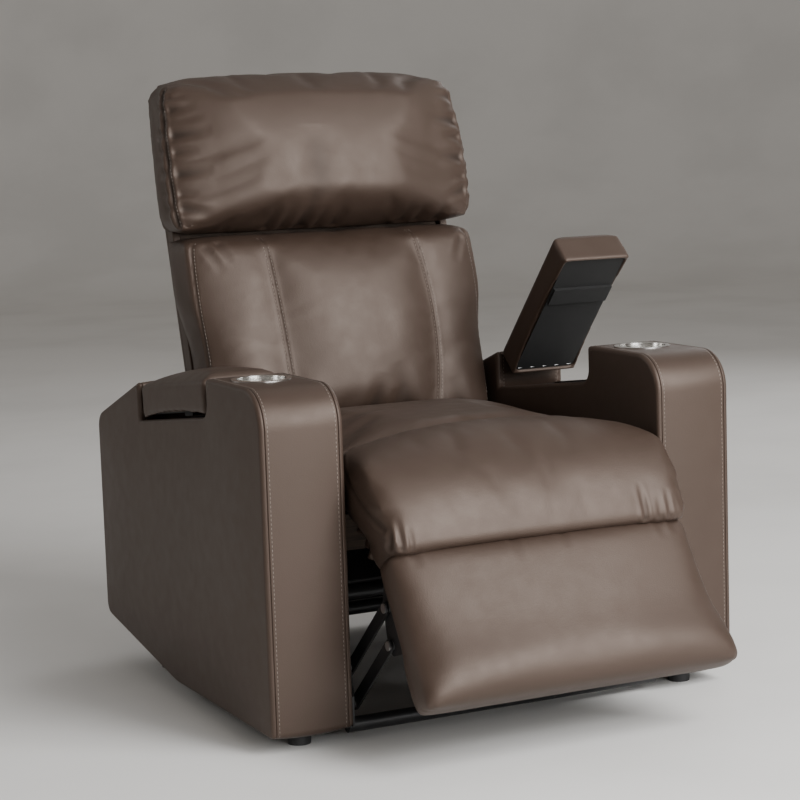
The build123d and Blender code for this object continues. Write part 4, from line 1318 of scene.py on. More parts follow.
@dataclass
class Arm:
    """One padded arm: two side panels, front and rear bands, and turned edges in the notch."""

    shop: Workshop
    side: Side
    inner_x: float = 295.0
    outer_x: float = 440.0
    seam: float = 9.0
    core: float = 16.0
    depth: float = 812.0
    bottom: float = 28.0
    top: float = 588.0
    front_radius: float = 65.0
    foot_radius: float = 10.0
    heel_y: float = 440.0
    heel_radius: float = 200.0
    rear_low: float = 86.0
    rear_low_radius: float = 26.0
    rear_high: float = 468.0
    rear_high_radius: float = 34.0
    edge_radius: float = 6.0
    notch_radius: float = 26.0
    notch_front: float = 231.0
    notch_rear: float = 571.0
    notch_front_floor: float = 524.2
    notch_rear_floor: float = 482.0
    rear_top: float = 552.0
    sewn_ease: float = 1.8
    soft_ease: float = 7.0
    outer_crown: float = 5.0
    inner_crown: float = 1.2
    rim_side: float = 12.0
    rim_inner_rise: float = 28.0
    rim_outer_rise: float = 30.0
    rim_front_low: float = 440.0
    rim_rear_low: float = 420.0
    rim_ease: float = 1.0
    band: float = 14.0
    band_tail: float = 30.0
    band_ease: float = 2.2
    band_crown: float = 3.5
    cup_y: float = 160.0
    cup_hole: float = 85.0
    cup_cut: float = 60.0
    cup_points: int = 64
    stitch_in: float = 5.0

    def outline(self) -> np.ndarray:
        """Side view of the whole arm.

        Returns:
            Anticlockwise points (y, z).
        """
        return Outline.rounded(
            [
                (0, self.bottom, self.foot_radius),
                (self.heel_y, self.bottom, self.heel_radius),
                (self.depth, self.rear_low, self.rear_low_radius),
                (self.depth, self.rear_high, self.rear_high_radius),
                (self.notch_rear, self.rear_top, self.edge_radius),
                (self.notch_rear, self.notch_rear_floor, 0),
                (self.notch_front, self.notch_front_floor, self.notch_radius),
                (self.notch_front, self.top, self.edge_radius),
                (0, self.top, self.front_radius),
            ]
        )

    def strip(self, front: bool) -> tuple[np.ndarray, np.ndarray]:
        """Side view of the front or rear band.

        Args:
            front: True for the front band.

        Returns:
            The closed outline of the band, and its outer line alone.
        """
        line = self.outline()
        y, z = line.T
        low_z = self.notch_rear_floor - self.band_tail
        middle = (self.notch_front + self.notch_rear) / 2
        if front:
            chosen = (y < self.notch_front + 1) & (z > self.bottom + 0.5)
            chosen &= (y < self.band) | (z > low_z)
        else:
            chosen = (y > self.notch_rear - 1) & ((y > self.depth - self.band_tail) | (z > low_z))
            chosen &= y > middle
        numbers = np.nonzero(chosen)[0]
        breaks = np.nonzero(np.diff(numbers) > 1)[0]
        if len(breaks):
            numbers = np.concatenate([numbers[breaks[0] + 1 :], numbers[: breaks[0] + 1]])
        inner = Outline.inset(line, self.band)[numbers]
        outer = line[numbers]
        return np.concatenate([outer, inner[::-1]]), outer

    def panels(self) -> None:
        """Outer and inner side panels, slightly padded, with a turned edge round the notch."""
        word, sign = self.side.word, self.side.value
        outline = self.outline()
        outer = Slab(
            outline,
            self.outer_x - self.seam,
            self.outer_x,
            ease_low=self.sewn_ease,
            ease_high=self.soft_ease,
            face_crown_high=self.outer_crown,
        )
        inner = Slab(
            outline,
            self.inner_x,
            self.inner_x + self.seam,
            ease_low=self.soft_ease,
            ease_high=self.sewn_ease,
            face_crown_low=self.inner_crown,
        )
        for name, slab in (("outer_panel", outer), ("inner_panel", inner)):
            piece = slab.piece(f"{word}_{name}_cover", self.shop.leather, sign)
            self.shop.settle(piece, "chair_base", [f"{word}_{name}"])
        front, front_floor = self.notch_front, self.notch_front_floor
        rear, rear_floor = self.notch_rear, self.notch_rear_floor
        rim = Outline.rounded(
            [
                (front - self.rim_side, self.rim_front_low, 0),
                (rear + self.rim_side, self.rim_rear_low, 0),
                (rear + self.rim_side, rear_floor + self.rim_outer_rise, 0),
                (rear, rear_floor + self.rim_inner_rise, 0),
                (rear, rear_floor, 0),
                (front, front_floor, self.notch_radius),
                (front, front_floor + self.rim_inner_rise, 0),
                (front - self.rim_side, front_floor + self.rim_outer_rise, 0),
            ]
        )
        spans = (
            ("outer", self.outer_x - self.core, self.outer_x - self.seam + 1),
            ("inner", self.inner_x + self.seam - 1, self.inner_x + self.core),
        )
        for name, low, high in spans:
            slab = Slab(rim, low, high, self.rim_ease, self.rim_ease)
            piece = slab.piece(f"{word}_notch_{name}_rim", self.shop.leather, sign)
            self.shop.settle(piece, "chair_base")

    def bands(self) -> None:
        """Front and rear bands with sewn corner seams and the cup holder's hole."""
        word, sign = self.side.word, self.side.value
        low, high = self.inner_x + self.seam, self.outer_x - self.seam
        rows: list[Line] = []
        for name, front in (("front", True), ("rear", False)):
            outline, outer = self.strip(front)
            flat = np.clip((self.top - 12 - outline[:, 1]) / 40, 0.1, 1)
            slab = Slab(
                outline,
                low,
                high,
                self.band_ease,
                self.band_ease,
                side_crown=self.band_crown,
                fill_step=NO_FILL,
                crown_share=flat,
            )
            piece = slab.piece(f"{word}_{name}_band", self.shop.leather, sign)
            if front:
                piece = self.pierced(piece)
            self.shop.settle(piece, "chair_base", [f"{word}_arm_band"] if front else [])
            for x in (low + self.stitch_in, high - self.stitch_in):
                rows.append([at(sign * x, y, z) for y, z in outer])
        self.shop.sew(f"{word}_arm_stitches", rows, "chair_base")

    def pierced(self, band: Object) -> Object:
        """Cut the cup holder's hole through the front band's top.

        Args:
            band: The whole band, which is used up.

        Returns:
            The band with its hole.
        """
        name = band.name
        count = self.cup_points
        ring = [(math.cos(a), math.sin(a)) for a in np.linspace(0, 2 * math.pi, count, False)]
        radius = self.cup_hole / 2
        x = self.side.value * (self.inner_x + self.outer_x) / 2
        places = [
            at(x + c * radius, self.cup_y + s * radius, z)
            for z in (self.top - self.cup_cut, self.top + self.cup_cut)
            for c, s in ring
        ]
        faces = ring_faces(2, count) + [list(range(count)), list(range(count, 2 * count))]
        cutter = plain_piece("cup_cutter", places, faces, self.shop.leather)
        cut = band.modifiers.new("cup_hole", "BOOLEAN")
        cut.operation = "DIFFERENCE"
        cut.solver = "EXACT"
        cut.object = cutter
        mesh = baked(band)
        drop(cutter)
        mesh.name = name
        return new_object(name, mesh)

    def build(self) -> None:
        """Make the arm."""
        self.panels()
        self.bands()


@dataclass
class Pad:
    """A padded piece grown from its solid: eased, blown up as cloth and sewn."""

    shop: Workshop
    node: str
    body: str
    fill: float
    voxel: float = 7.5
    ease: int = 8
    start_smaller: float = 4.0
    pressure: float = 5.0
    spare: float = 0.012
    cap: float = 22.0
    settle_rounds: int = 3
    rest_reach: float = 12.0
    seam_reach: float = 9.0
    ease_hold: float = 0.8
    quick_swell: float = 2.0

    def rests(self) -> list[Rest]:
        """Flat supports that the pad lies on, as points and outward directions."""
        return []

    def seams(self, skin: Skin) -> list[Line]:
        """Sewn lines that hold the cover in."""
        return []

    def marks(self, skin: Skin) -> list[Mark]:
        """Creases, puckers and grooves."""
        return []

    def stitches(self, skin: Skin) -> list[Line]:
        """Lines that show thread."""
        return []

    def shape(self) -> Skin:
        """Run the whole making of the skin.

        Returns:
            The finished skin.
        """
        skin = Skin.over_node(self.node, self.voxel)
        held = skin.near_planes(self.rests(), self.rest_reach)
        held = np.maximum(held, skin.near_lines(self.seams(skin), self.seam_reach))
        skin.relax(self.ease, held * self.ease_hold)
        skin.swell(-self.start_smaller, held)
        skin.puff(self.pressure, self.spare, held, self.cap)
        skin.relax(self.settle_rounds)
        skin.subdivide()
        skin.fit(*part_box(self.node))
        self.finish_form(skin)
        skin.press(self.marks(skin))
        return skin

    def finish_form(self, skin: Skin) -> None:
        """Last changes of form before the seams are pressed in."""

    def attach(self, piece: Object) -> None:
        """Fix the pad to its body."""
        self.shop.settle(piece, self.body, [self.node])

    def build(self) -> None:
        skin = self.shape()
        lines = [line for line in self.stitches(skin) if len(line) > 1]
        piece = skin.piece(f"{self.node}_cover", self.shop.leather)
        self.attach(piece)
        if lines:
            self.shop.sew(f"{self.node}_stitches", lines, self.body)


@dataclass
class SeatCushion(Pad):
    """Flat seat cushion behind the padded bridge."""

    def rests(self) -> list[Rest]:
        """The webbing under it and the back behind it."""
        return [(at(0, 300, 362), DOWN), (at(0, 553, 400), REARWARD)]

    def seams(self, skin: Skin) -> list[Line]:
        """Side seams below the crown.

        Args:
            skin: The pad's skin.

        Returns:
            The lines.
        """
        lines = []
        for sign in (-1, 1):
            points = [at(sign * SIDE_X, y, 440) for y in spread(110, 540, 24)]
            lines.append(skin.cast(points, inwards(sign)))
        return lines

    def marks(self, skin: Skin) -> list[Mark]:
        """Side seams and a few long soft creases.

        Args:
            skin: The pad's skin.

        Returns:
            The marks.
        """
        marks = [Mark(line, width=4.5, depth=4.0) for line in self.seams(skin)]
        creases = (
            ((-200, 300), (-60, 345), 16.0, 2.4),
            ((60, 330), (230, 290), 18.0, 2.4),
            ((-250, 180), (-160, 215), 13.0, 2.0),
            ((170, 200), (262, 165), 13.0, 2.2),
        )
        for (x0, y0), (x1, y1), width, depth in creases:
            points = [at(x0 + (x1 - x0) * t, y0 + (y1 - y0) * t, 450) for t in spread(0, 1, 9)]
            line = skin.cast(points, DOWN)
            marks.append(Mark(line, width, depth, rim=0.3, fade=Fade.ENDS))
        return marks


@dataclass
class BridgePad(Pad):
    """Padded bridge that bends between the seat and the footrest."""

    def rests(self) -> list[Rest]:
        """The seat cushion behind it."""
        return [(at(0, 94, 450), REARWARD)]

    def seams(self, skin: Skin) -> list[Line]:
        """The lip above the footrest."""
        return [skin.cast([at(x, -100, 347) for x in spread(-280, 280, 50)], REARWARD)]

    def front_line(self, skin: Skin, x: float, heights: Sequence[float]) -> Line:
        """Line down the front at one place across."""
        return skin.cast([at(x, -60, z) for z in heights], REARWARD)

    def marks(self, skin: Skin) -> list[Mark]:
        """Pleats rising from the lower seam at both ends, and a seam along each side.

        Args:
            skin: The pad's skin.

        Returns:
            The marks.
        """
        marks = []
        pleats = (
            (188, 58, 3.2),
            (216, 34, 1.8),
            (236, 46, 2.6),
            (249, 38, 2.2),
            (259, 44, 2.6),
            (267, 30, 2.2),
            (274, 36, 2.4),
            (-272, 40, 2.6),
            (-258, 48, 3.0),
            (-243, 34, 2.0),
        )
        for x, rise, depth in pleats:
            line = self.front_line(skin, x, spread(338, 338 + rise, 8))
            marks.append(Mark(line, width=5.0, depth=depth, rim=0.5, fade=Fade.TAIL))
        for sign in (-1, 1):
            slope = zip(spread(80, -95, 20), spread(470, 366, 20))
            line = skin.cast([at(sign * SIDE_X, y, z) for y, z in slope], inwards(sign))
            marks.append(Mark(line, width=5.0, depth=3.0))
        return marks

    def attach(self, piece: Object) -> None:
        """Bake the pad's place into its mesh and hide its solid.

        Args:
            piece: The finished pad.
        """
        at(0, *BEND_START)
        at(0, *BEND_END)
        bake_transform(piece)
        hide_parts(self.node)
        LOG.info("%s bends from seat to footrest", piece.name)


def two_layer_faces(columns: int, rows: int) -> list[list[int]]:
    """Faces of a thin sheet whose two layers are grids joined at their rims.

    Args:
        columns: Points along the sheet.
        rows: Points down each column.

    Returns:
        Corner numbers of each face, for points listed column by column, layer by layer.
    """
    layer = columns * rows
    faces = []
    for k in (0, layer):
        for i in range(columns - 1):
            for j in range(rows - 1):
                a = k + i * rows + j
                faces.append([a, a + 1, a + rows + 1, a + rows])
    rim = [i * rows for i in range(columns)]
    rim += [(columns - 1) * rows + j for j in range(1, rows)]
    rim += [i * rows + rows - 1 for i in range(columns - 2, -1, -1)]
    rim += list(range(rows - 2, 0, -1))
    for a, b in zip(rim, rim[1:] + rim[:1]):
        faces.append([a, b, b + layer, a + layer])
    return faces


@dataclass
class BridgeGusset:
    """Gathered leather gusset that closes one side under the bridge pad."""

    shop: Workshop
    side: Side
    x: float = 246.0
    start: tuple[float, float] = (62.0, 384.0)
    bow: tuple[float, float] = (10.0, 340.0)
    end: tuple[float, float] = (-76.0, 306.0)
    drop: float = 46.0
    thick: float = 1.6
    pleat: float = 5.0
    sway: float = 4.0
    lean: float = 0.28
    tuck: float = 8.0
    cut_share: float = 0.9
    columns: int = 64
    rows: int = 14

    def build(self) -> None:
        """Make the folded sheet."""
        places: list[Vector] = []
        sign = self.side.value
        for layer in (0.0, self.thick):
            for t in spread(0, 1, self.columns):
                y, z = (
                    (1 - t) ** 2 * a + 2 * t * (1 - t) * b + t * t * c
                    for a, b, c in zip(self.start, self.bow, self.end)
                )
                for d in spread(0, 1, self.rows):
                    fold = math.sin(t * 34 + 2.2 * d) * self.pleat
                    fold += math.sin(t * 13 + 1.0) * self.sway
                    depth = self.drop * d * (0.75 + 0.25 * math.sin(t * math.pi))
                    x = self.x + layer + fold * d**0.7
                    places.append(at(sign * x, y + self.lean * depth, z - depth + self.tuck))
        faces = two_layer_faces(self.columns, self.rows)
        piece = plain_piece(f"{self.side.word}_bridge_gusset", places, faces, self.shop.leather)
        at(0, *BEND_START)
        at(0, *BEND_END)
        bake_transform(piece)
        LOG.info("%s: %d faces", piece.name, len(faces))


@dataclass
class DustCloth:
    """Black sheet stretched between the arms behind the mechanism: painted shade that darkens the
    chair's open underside.
    """

    shop: Workshop
    slot: str = "black_fabric"
    half_width: float = 294.6
    y: float = 772.0
    top: float = 322.0
    foot: float = 34.0
    sag: float = 5.0
    wrinkle: float = 4.0
    belly: float = 5.0
    thick: float = 1.2
    columns: int = 72
    rows: int = 36

    def build(self) -> None:
        """Make the slightly slack sheet, with a soft pull from its corners."""
        places: list[Vector] = []
        for layer in (0.0, self.thick):
            for t in spread(-1, 1, self.columns):
                slack = 1 - t * t
                for d in spread(0, 1, self.rows):
                    pull = math.sin(9 * t + 5 * d) + 0.6 * math.sin(17 * t - 7 * d + 1.0)
                    bow = self.wrinkle * pull + self.belly * math.sin(math.pi * d)
                    y = self.y + layer + slack * bow
                    z = self.top + (self.foot - self.top) * d - self.sag * slack * (1 - d)
                    places.append(at(t * self.half_width, y, z + self.sag * slack * d))
        faces = two_layer_faces(self.columns, self.rows)
        # The black sheet stands in for the shade under the chair.
        piece = plain_piece("rear_dust_cloth", places, faces, self.shop.finishes[self.slot])
        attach(piece, "chair_base")
        LOG.info("%s: %d faces", piece.name, len(faces))


@dataclass
class FootrestPad(Pad):
    """Smooth footrest pad with a rolled lower edge."""

    centre: tuple[float, float] = (-30.0, 465.0)
    rest_angle: float = 33.0
    face_y: float = -38.0
    top_z: float = 308.0
    low_z: float = 52.0
    board_y: float = 27.0
    board_z: float = 180.0
    lower_rise: float = 11.0
    rise_place: float = 0.10
    rise_reach: float = 0.24
    flare: float = 0.020

    def turned(self, x: float, y: float, z: float) -> Vector:
        """Point drawn on the hanging pad, at the rest angle.

        Args:
            x: Place across in millimetres.
            y: Depth in millimetres.
            z: Height in millimetres.

        Returns:
            The point.
        """
        angle = math.radians(self.rest_angle)
        dy, dz = y - self.centre[0], z - self.centre[1]
        ty = self.centre[0] + dy * math.cos(angle) + dz * math.sin(angle)
        tz = self.centre[1] - dy * math.sin(angle) + dz * math.cos(angle)
        return at(x, ty, tz)

    @property
    def inward(self) -> Vector:
        """Direction into the pad's face."""
        return (self.turned(0, 1, 0) - self.turned(0, 0, 0)).normalized()

    def rests(self) -> list[Rest]:
        """The board behind it."""
        return [(self.turned(0, self.board_y, self.board_z), self.inward)]

    def face_line(self, skin: Skin, points: Iterable[tuple[float, float]]) -> Line:
        """Line on the pad's face through points (x, z)."""
        return skin.cast([self.turned(x, self.face_y, z) for x, z in points], self.inward)

    def finish_form(self, skin: Skin) -> None:
        """Fuller lower end, a little wider than the upper end.

        Args:
            skin: The pad's skin.
        """
        places, normals = skin.places, skin.normals
        ahead = np.clip(-(normals @ np.array(self.inward)), 0, 1)
        top = self.turned(0, self.face_y, self.top_z)
        foot = self.turned(0, self.face_y, self.low_z)
        run = np.array(top - foot)
        share = ((places - np.array(foot)) @ run) / (run @ run)
        beside = (share - self.rise_place) / self.rise_reach
        rise = self.lower_rise * ahead * np.exp(-(beside**2))
        places = places + normals * (rise * MM)[:, None]
        places[:, 0] *= 1 + self.flare * np.clip(1 - share, 0, 1) ** 1.5
        skin.places = places

    def seams(self, skin: Skin) -> list[Line]:
        """Seam along the top edge, under the bridge."""
        return [self.face_line(skin, [(x, 302) for x in spread(-262, 262, 40)])]

    def marks(self, skin: Skin) -> list[Mark]:
        """Short gathers under the bridge.

        Args:
            skin: The pad's skin.

        Returns:
            The marks.
        """
        marks = []
        for x, fall in ((-236, 30), (-60, 44), (30, 30), (215, 34), (244, 26)):
            line = self.face_line(skin, [(x, 304 - z) for z in spread(0, fall, 6)])
            marks.append(Mark(line, width=8.0, depth=1.4, rim=0.4, fade=Fade.TAIL))
        return marks


@dataclass(frozen=True)
class EdgeSeam:
    """Seam where a back cushion's front meets its side, placed before the back board."""

    x: float
    before: float
    low: float
    high: float
    points: int


class BackPad(Pad):
    """A cushion of the leaning back, sewn where its front meets its sides."""

    rest_z: float
    aim_y: float
    edge: EdgeSeam

    def rests(self) -> list[Rest]:
        """The back board behind it."""
        return [(at(0, back_plane(self.rest_z), self.rest_z), Vector((0, 1, -BACK_LEAN)))]

    def front_line(self, skin: Skin, points: Iterable[tuple[float, float]]) -> Line:
        """Line on the front through points (x, z)."""
        return skin.cast([at(x, self.aim_y, z) for x, z in points], REARWARD)

    def edge_lines(self, skin: Skin, shift: float = 0.0) -> list[Line]:
        """The edge seams of both sides.

        Args:
            skin: The cushion's skin.
            shift: Distance outwards from the seams in millimetres.

        Returns:
            Points on the skin, for each side.
        """
        lines = []
        edge = self.edge
        for sign in (-1, 1):
            points = [
                at(sign * (edge.x + shift), back_plane(z) - edge.before, z)
                for z in spread(edge.low, edge.high, edge.points)
            ]
            lines.append(skin.cast(points, Vector((-sign * 0.72, 0.69, 0.0))))
        return lines


@dataclass
class LumbarCushion(BackPad):
    """Lower back cushion in three sewn panels."""

    rest_z: float = 600.0
    aim_y: float = 600.0
    edge: EdgeSeam = EdgeSeam(x=262.0, before=70.0, low=446.0, high=786.0, points=36)
    low: float = 428.0
    high: float = 797.0
    half: float = 292.0
    rise: float = 13.0
    tuck: float = 2.0
    wider: float = 17.0
    wider_above: float = 574.0
    left_seam: tuple[float, float, float] = (158.0, 178.0, 165.0)
    right_seam: tuple[float, float, float] = (-131.0, -140.0, -146.0)
    seam_low: float = 436.0
    seam_high: float = 790.0

    def panel_seam(self, skin: Skin, bow: tuple[float, float, float], shift: float = 0.0) -> Line:
        """Upright seam bowed through three places across.

        Args:
            skin: The cushion's skin.
            bow: X at the foot, the middle and the top.
            shift: Distance beside the seam in millimetres.

        Returns:
            Points on the skin.
        """
        points = []
        for t in spread(0, 1, 44):
            weights = ((1 - t) * (1 - 2 * t), 4 * t * (1 - t), t * (2 * t - 1))
            x = sum(w * b for w, b in zip(weights, bow))
            points.append((x + shift, self.seam_low + t * (self.seam_high - self.seam_low)))
        return self.front_line(skin, points)

    def seams(self, skin: Skin) -> list[Line]:
        """Two upright seams and the two boxing seams."""
        lines = [self.panel_seam(skin, bow) for bow in (self.left_seam, self.right_seam)]
        return lines + self.edge_lines(skin)

    def marks(self, skin: Skin) -> list[Mark]:
        """Fine seams, a few folds at the foot and pulls at the upper corners.

        Args:
            skin: The pad's skin.

        Returns:
            The marks.
        """
        marks = [Mark(line, width=3.2, depth=2.0, rim=0.2) for line in self.seams(skin)]
        folds = (
            (-50, 52, 13.0, 3.0, 0.25),
            (18, 92, 17.0, 6.0, 0.3),
            (62, 60, 12.0, 5.0, 0.1),
            (96, 110, 19.0, 5.5, -0.2),
            (216, 70, 15.0, 4.0, -0.3),
        )
        for x, rise, width, depth, lean in folds:
            line = self.front_line(skin, [(x + lean * z, 440 + z) for z in spread(0, rise, 8)])
            marks.append(Mark(line, width, depth, rim=0.35, fade=Fade.TAIL))
        for x, z, fall in ((-262, 778, 46), (-236, 784, 34), (270, 770, 44)):
            points = [(x * (1 - 0.002 * d), z - d) for d in spread(0, fall, 7)]
            line = self.front_line(skin, points)
            marks.append(Mark(line, width=8.0, depth=2.4, rim=0.4, fade=Fade.TAIL))
        return marks

    def finish_form(self, skin: Skin) -> None:
        """Full middle and sides that reach the back cover."""
        skin.bulge(self.low, self.high, self.half, self.rise, self.tuck)
        skin.widen(self.half, self.wider, self.wider_above)

    def stitches(self, skin: Skin) -> list[Line]:
        """Topstitching on both sides of the upright seams, and beside the boxing seams.

        Args:
            skin: The pad's skin.

        Returns:
            The lines.
        """
        lines = []
        for bow in (self.left_seam, self.right_seam):
            lines += [self.panel_seam(skin, bow, side) for side in (-4.5, 4.5)]
        return lines + self.edge_lines(skin, shift=-6.0)


@dataclass
class HeadCushion(BackPad):
    """Head cushion that rolls over the top of the back, puckered along its side seams."""

    rest_z: float = 900.0
    aim_y: float = 700.0
    edge: EdgeSeam = EdgeSeam(x=277.0, before=62.0, low=822.0, high=1072.0, points=30)
    low: float = 799.0
    high: float = 1102.0
    half: float = 304.0
    rise: float = 17.0
    tuck: float = 10.0
    wider: float = 12.0
    wider_below: float = 110.0
    lumps: float = 2.6

    def seams(self, skin: Skin) -> list[Line]:
        """The two side seams."""
        return self.edge_lines(skin)

    def marks(self, skin: Skin) -> list[Mark]:
        """Side seams with puckers, gathers over the crease and one soft upright dent.

        Args:
            skin: The pad's skin.

        Returns:
            The marks.
        """
        marks = [Mark(line, width=5.0, depth=5.0, rim=0.35) for line in self.seams(skin)]
        puckers = (
            (858, 52, 9.0, 4.0, -0.25),
            (884, 30, 6.0, 2.4, 0.1),
            (922, 60, 10.0, 4.6, 0.1),
            (962, 40, 7.0, 3.0, 0.05),
            (994, 66, 10.0, 4.8, 0.12),
            (1040, 46, 8.0, 3.4, 0.2),
            (1062, 30, 6.0, 2.6, 0.1),
        )
        for sign in (-1, 1):
            for z, reach, width, depth, lean in puckers:
                points = [(sign * (294 - d), z + sign * 5 + lean * d) for d in spread(0, reach, 9)]
                line = self.front_line(skin, points)
                marks.append(Mark(line, width, depth, rim=0.45, fade=Fade.TAIL))
                depths = [back_plane(z) - 84 + d for d in spread(0, 26, 6)]
                side = [at(sign * SIDE_X, y, z + sign * 5) for y in depths]
                line = skin.cast(side, inwards(sign))
                marks.append(Mark(line, width * 0.8, depth * 0.6, rim=0.4, fade=Fade.TAIL))
        gathers = (
            (-205, 30, 8.0, 2.0),
            (-118, 44, 9.0, 3.4),
            (-88, 36, 8.0, 3.0),
            (-50, 74, 13.0, 4.6),
            (-18, 40, 8.0, 3.0),
            (20, 52, 10.0, 3.2),
            (168, 44, 10.0, 3.2),
            (200, 34, 8.0, 2.8),
            (240, 46, 10.0, 3.4),
        )
        for x, rise, width, depth in gathers:
            line = self.front_line(skin, [(x + 0.12 * z, 808 + z) for z in spread(0, rise, 8)])
            marks.append(Mark(line, width, depth, rim=0.45, fade=Fade.TAIL))
        dent = self.front_line(skin, [(-34 + 0.04 * z, 850 + z) for z in spread(0, 150, 12)])
        marks.append(Mark(dent, width=34.0, depth=3.0, rim=0.25, fade=Fade.ENDS))
        return marks

    def finish_form(self, skin: Skin) -> None:
        """Full middle, tucked lower edge and lumpy stuffing.

        Args:
            skin: The pad's skin.
        """
        skin.bulge(self.low, self.high, self.half, self.rise, self.tuck)
        skin.widen(self.half, self.wider, self.low - self.wider_below)
        waves = [
            (Vector((3.1, 0.4, 1.2)), 0.4),
            (Vector((-2.2, 0.8, 3.4)), 1.9),
            (Vector((5.3, 0.2, -2.1)), 3.1),
        ]
        skin.ripple(self.lumps, waves)

    def stitches(self, skin: Skin) -> list[Line]:
        """Thread beside the side seams."""
        return self.edge_lines(skin, shift=-7.0)


@dataclass
class ArmLid(Pad):
    """Padded lid of an arm's storage bin."""

    def shape(self) -> Skin:
        """Ease the solid's edges and round it off.

        Returns:
            The finished skin.
        """
        skin = Skin.over_node(self.node, self.voxel)
        skin.relax(self.ease)
        skin.subdivide()
        skin.press(self.marks(skin))
        return skin


@dataclass
class BackCover:
    """Leather panel over the back of the chair, sewn round its edge."""

    shop: Workshop
    half: float = 291.0
    low: float = 380.0
    high: float = 1072.0
    corner: float = 46.0
    low_corner: float = 14.0
    start: float = 15.3
    thick: float = 31.0
    stitch_in: float = 15.0
    stitch_out: float = 0.9
    wing: float = 16.0
    wing_start: float = -14.0

    def build(self) -> None:
        """Make the cover and its thread."""
        outline = Outline.rounded(
            [
                (-self.half, self.low, self.low_corner),
                (self.half, self.low, self.low_corner),
                (self.half, self.high, self.corner),
                (-self.half, self.high, self.corner),
            ]
        )
        slab = LeanedSlab(
            outline, self.start, self.thick, ease_low=2.0, ease_high=8.0, face_crown_high=4.0
        )
        piece = slab.piece("back_cover_panel", self.shop.leather)
        self.shop.settle(piece, "back", ["back_cover"])
        self.wings(outline)
        inner = Outline.inset(outline, self.stitch_in)
        edge = [at(x, back_plane(z) + self.thick + self.stitch_out, z) for x, z in inner]
        self.shop.sew("back_cover_stitches", [edge + edge[:1]], "back")

    def wings(self, outline: np.ndarray) -> None:
        """Turned-in sides and top of the cover, which close the edge of the board.

        Args:
            outline: The cover's outline (x, z).
        """
        split = int(np.argmax(outline[:, 0] - outline[:, 1] * 0.5))
        run = np.roll(outline, -split, axis=0)
        run = run[run[:, 1] > self.low + 15]
        inner = Outline.inset(outline, self.wing)
        turned = np.roll(inner, -split, axis=0)
        turned = turned[turned[:, 1] > self.low + 15 + self.wing * 0.02]
        shape = np.concatenate([run, turned[::-1]])
        slab = LeanedSlab(
            shape, self.wing_start, self.start, ease_low=3.0, ease_high=1.0, fill_step=NO_FILL
        )
        piece = slab.piece("back_cover_wings", self.shop.leather)
        self.shop.settle(piece, "back")


@dataclass
class CarriedSolids:
    """The frame's own solids that stay in view, each given its finish."""

    shop: Workshop

    def build(self) -> None:
        """Dress every solid by its slot."""
        for part in frame["record"]["subparts"]:
            solid = frame["nodes"][part["node"]]
            solid.data.materials.clear()
            solid.data.materials.append(self.shop.finishes[part["material_slot"]])


@dataclass
class Staples:
    """Wire staples along the rear edge of a lid's lining."""

    shop: Workshop
    side: Side
    open_angle: float
    hinge: tuple[float, float] = (566.0, 549.0)
    rear_foot: tuple[float, float] = (554.0, 487.0)
    tilt: float = 7.08
    in_from_rear: float = 12.0
    middle: float = 367.5
    half_row: float = 54.0
    row_points: int = 9
    pitch: float = 27.0
    length: float = 11.0
    wire: float = 1.4
    ray_below: float = 40.0

    def lid_point(self, along: float, below: float) -> tuple[float, float]:
        """Point of the lid's underside at its rest angle.

        Args:
            along: Distance forward from the rear foot in millimetres.
            below: Distance under the underside in millimetres.

        Returns:
            The point (y, z) in millimetres.
        """
        tilt, lift = math.radians(self.tilt), math.radians(self.open_angle)
        y = self.rear_foot[0] - along * math.cos(tilt) - below * math.sin(tilt) - self.hinge[0]
        z = self.rear_foot[1] + along * math.sin(tilt) - below * math.cos(tilt) - self.hinge[1]
        turned_y = y * math.cos(lift) + z * math.sin(lift)
        turned_z = -y * math.sin(lift) + z * math.cos(lift)
        return self.hinge[0] + turned_y, self.hinge[1] + turned_z

    def build(self) -> None:
        """Set a row of staples on the lining."""
        word = self.side.word
        lining = Skin(frame["nodes"][f"{word}_lid_lining"].data)
        spot = self.lid_point(self.in_from_rear, 0.0)
        far = self.lid_point(self.in_from_rear, self.ray_below)
        upward = at(0, *spot) - at(0, *far)
        row = spread(self.middle - self.half_row, self.middle + self.half_row, self.row_points)
        line = lining.cast([at(self.side.value * x, *far) for x in row], upward, 0.0)
        if len(line) < 2:
            LOG.info("%s lid lining has no room for staples", word)
            return
        zinc = self.shop.finishes["zinc_steel"]
        name = f"{word}_lid_staples"
        rows = self.shop.sewing.rows(name, [line], zinc, self.pitch, self.length, self.wire)
        self.shop.settle(rows, f"{word}_lid", slot="zinc_steel")


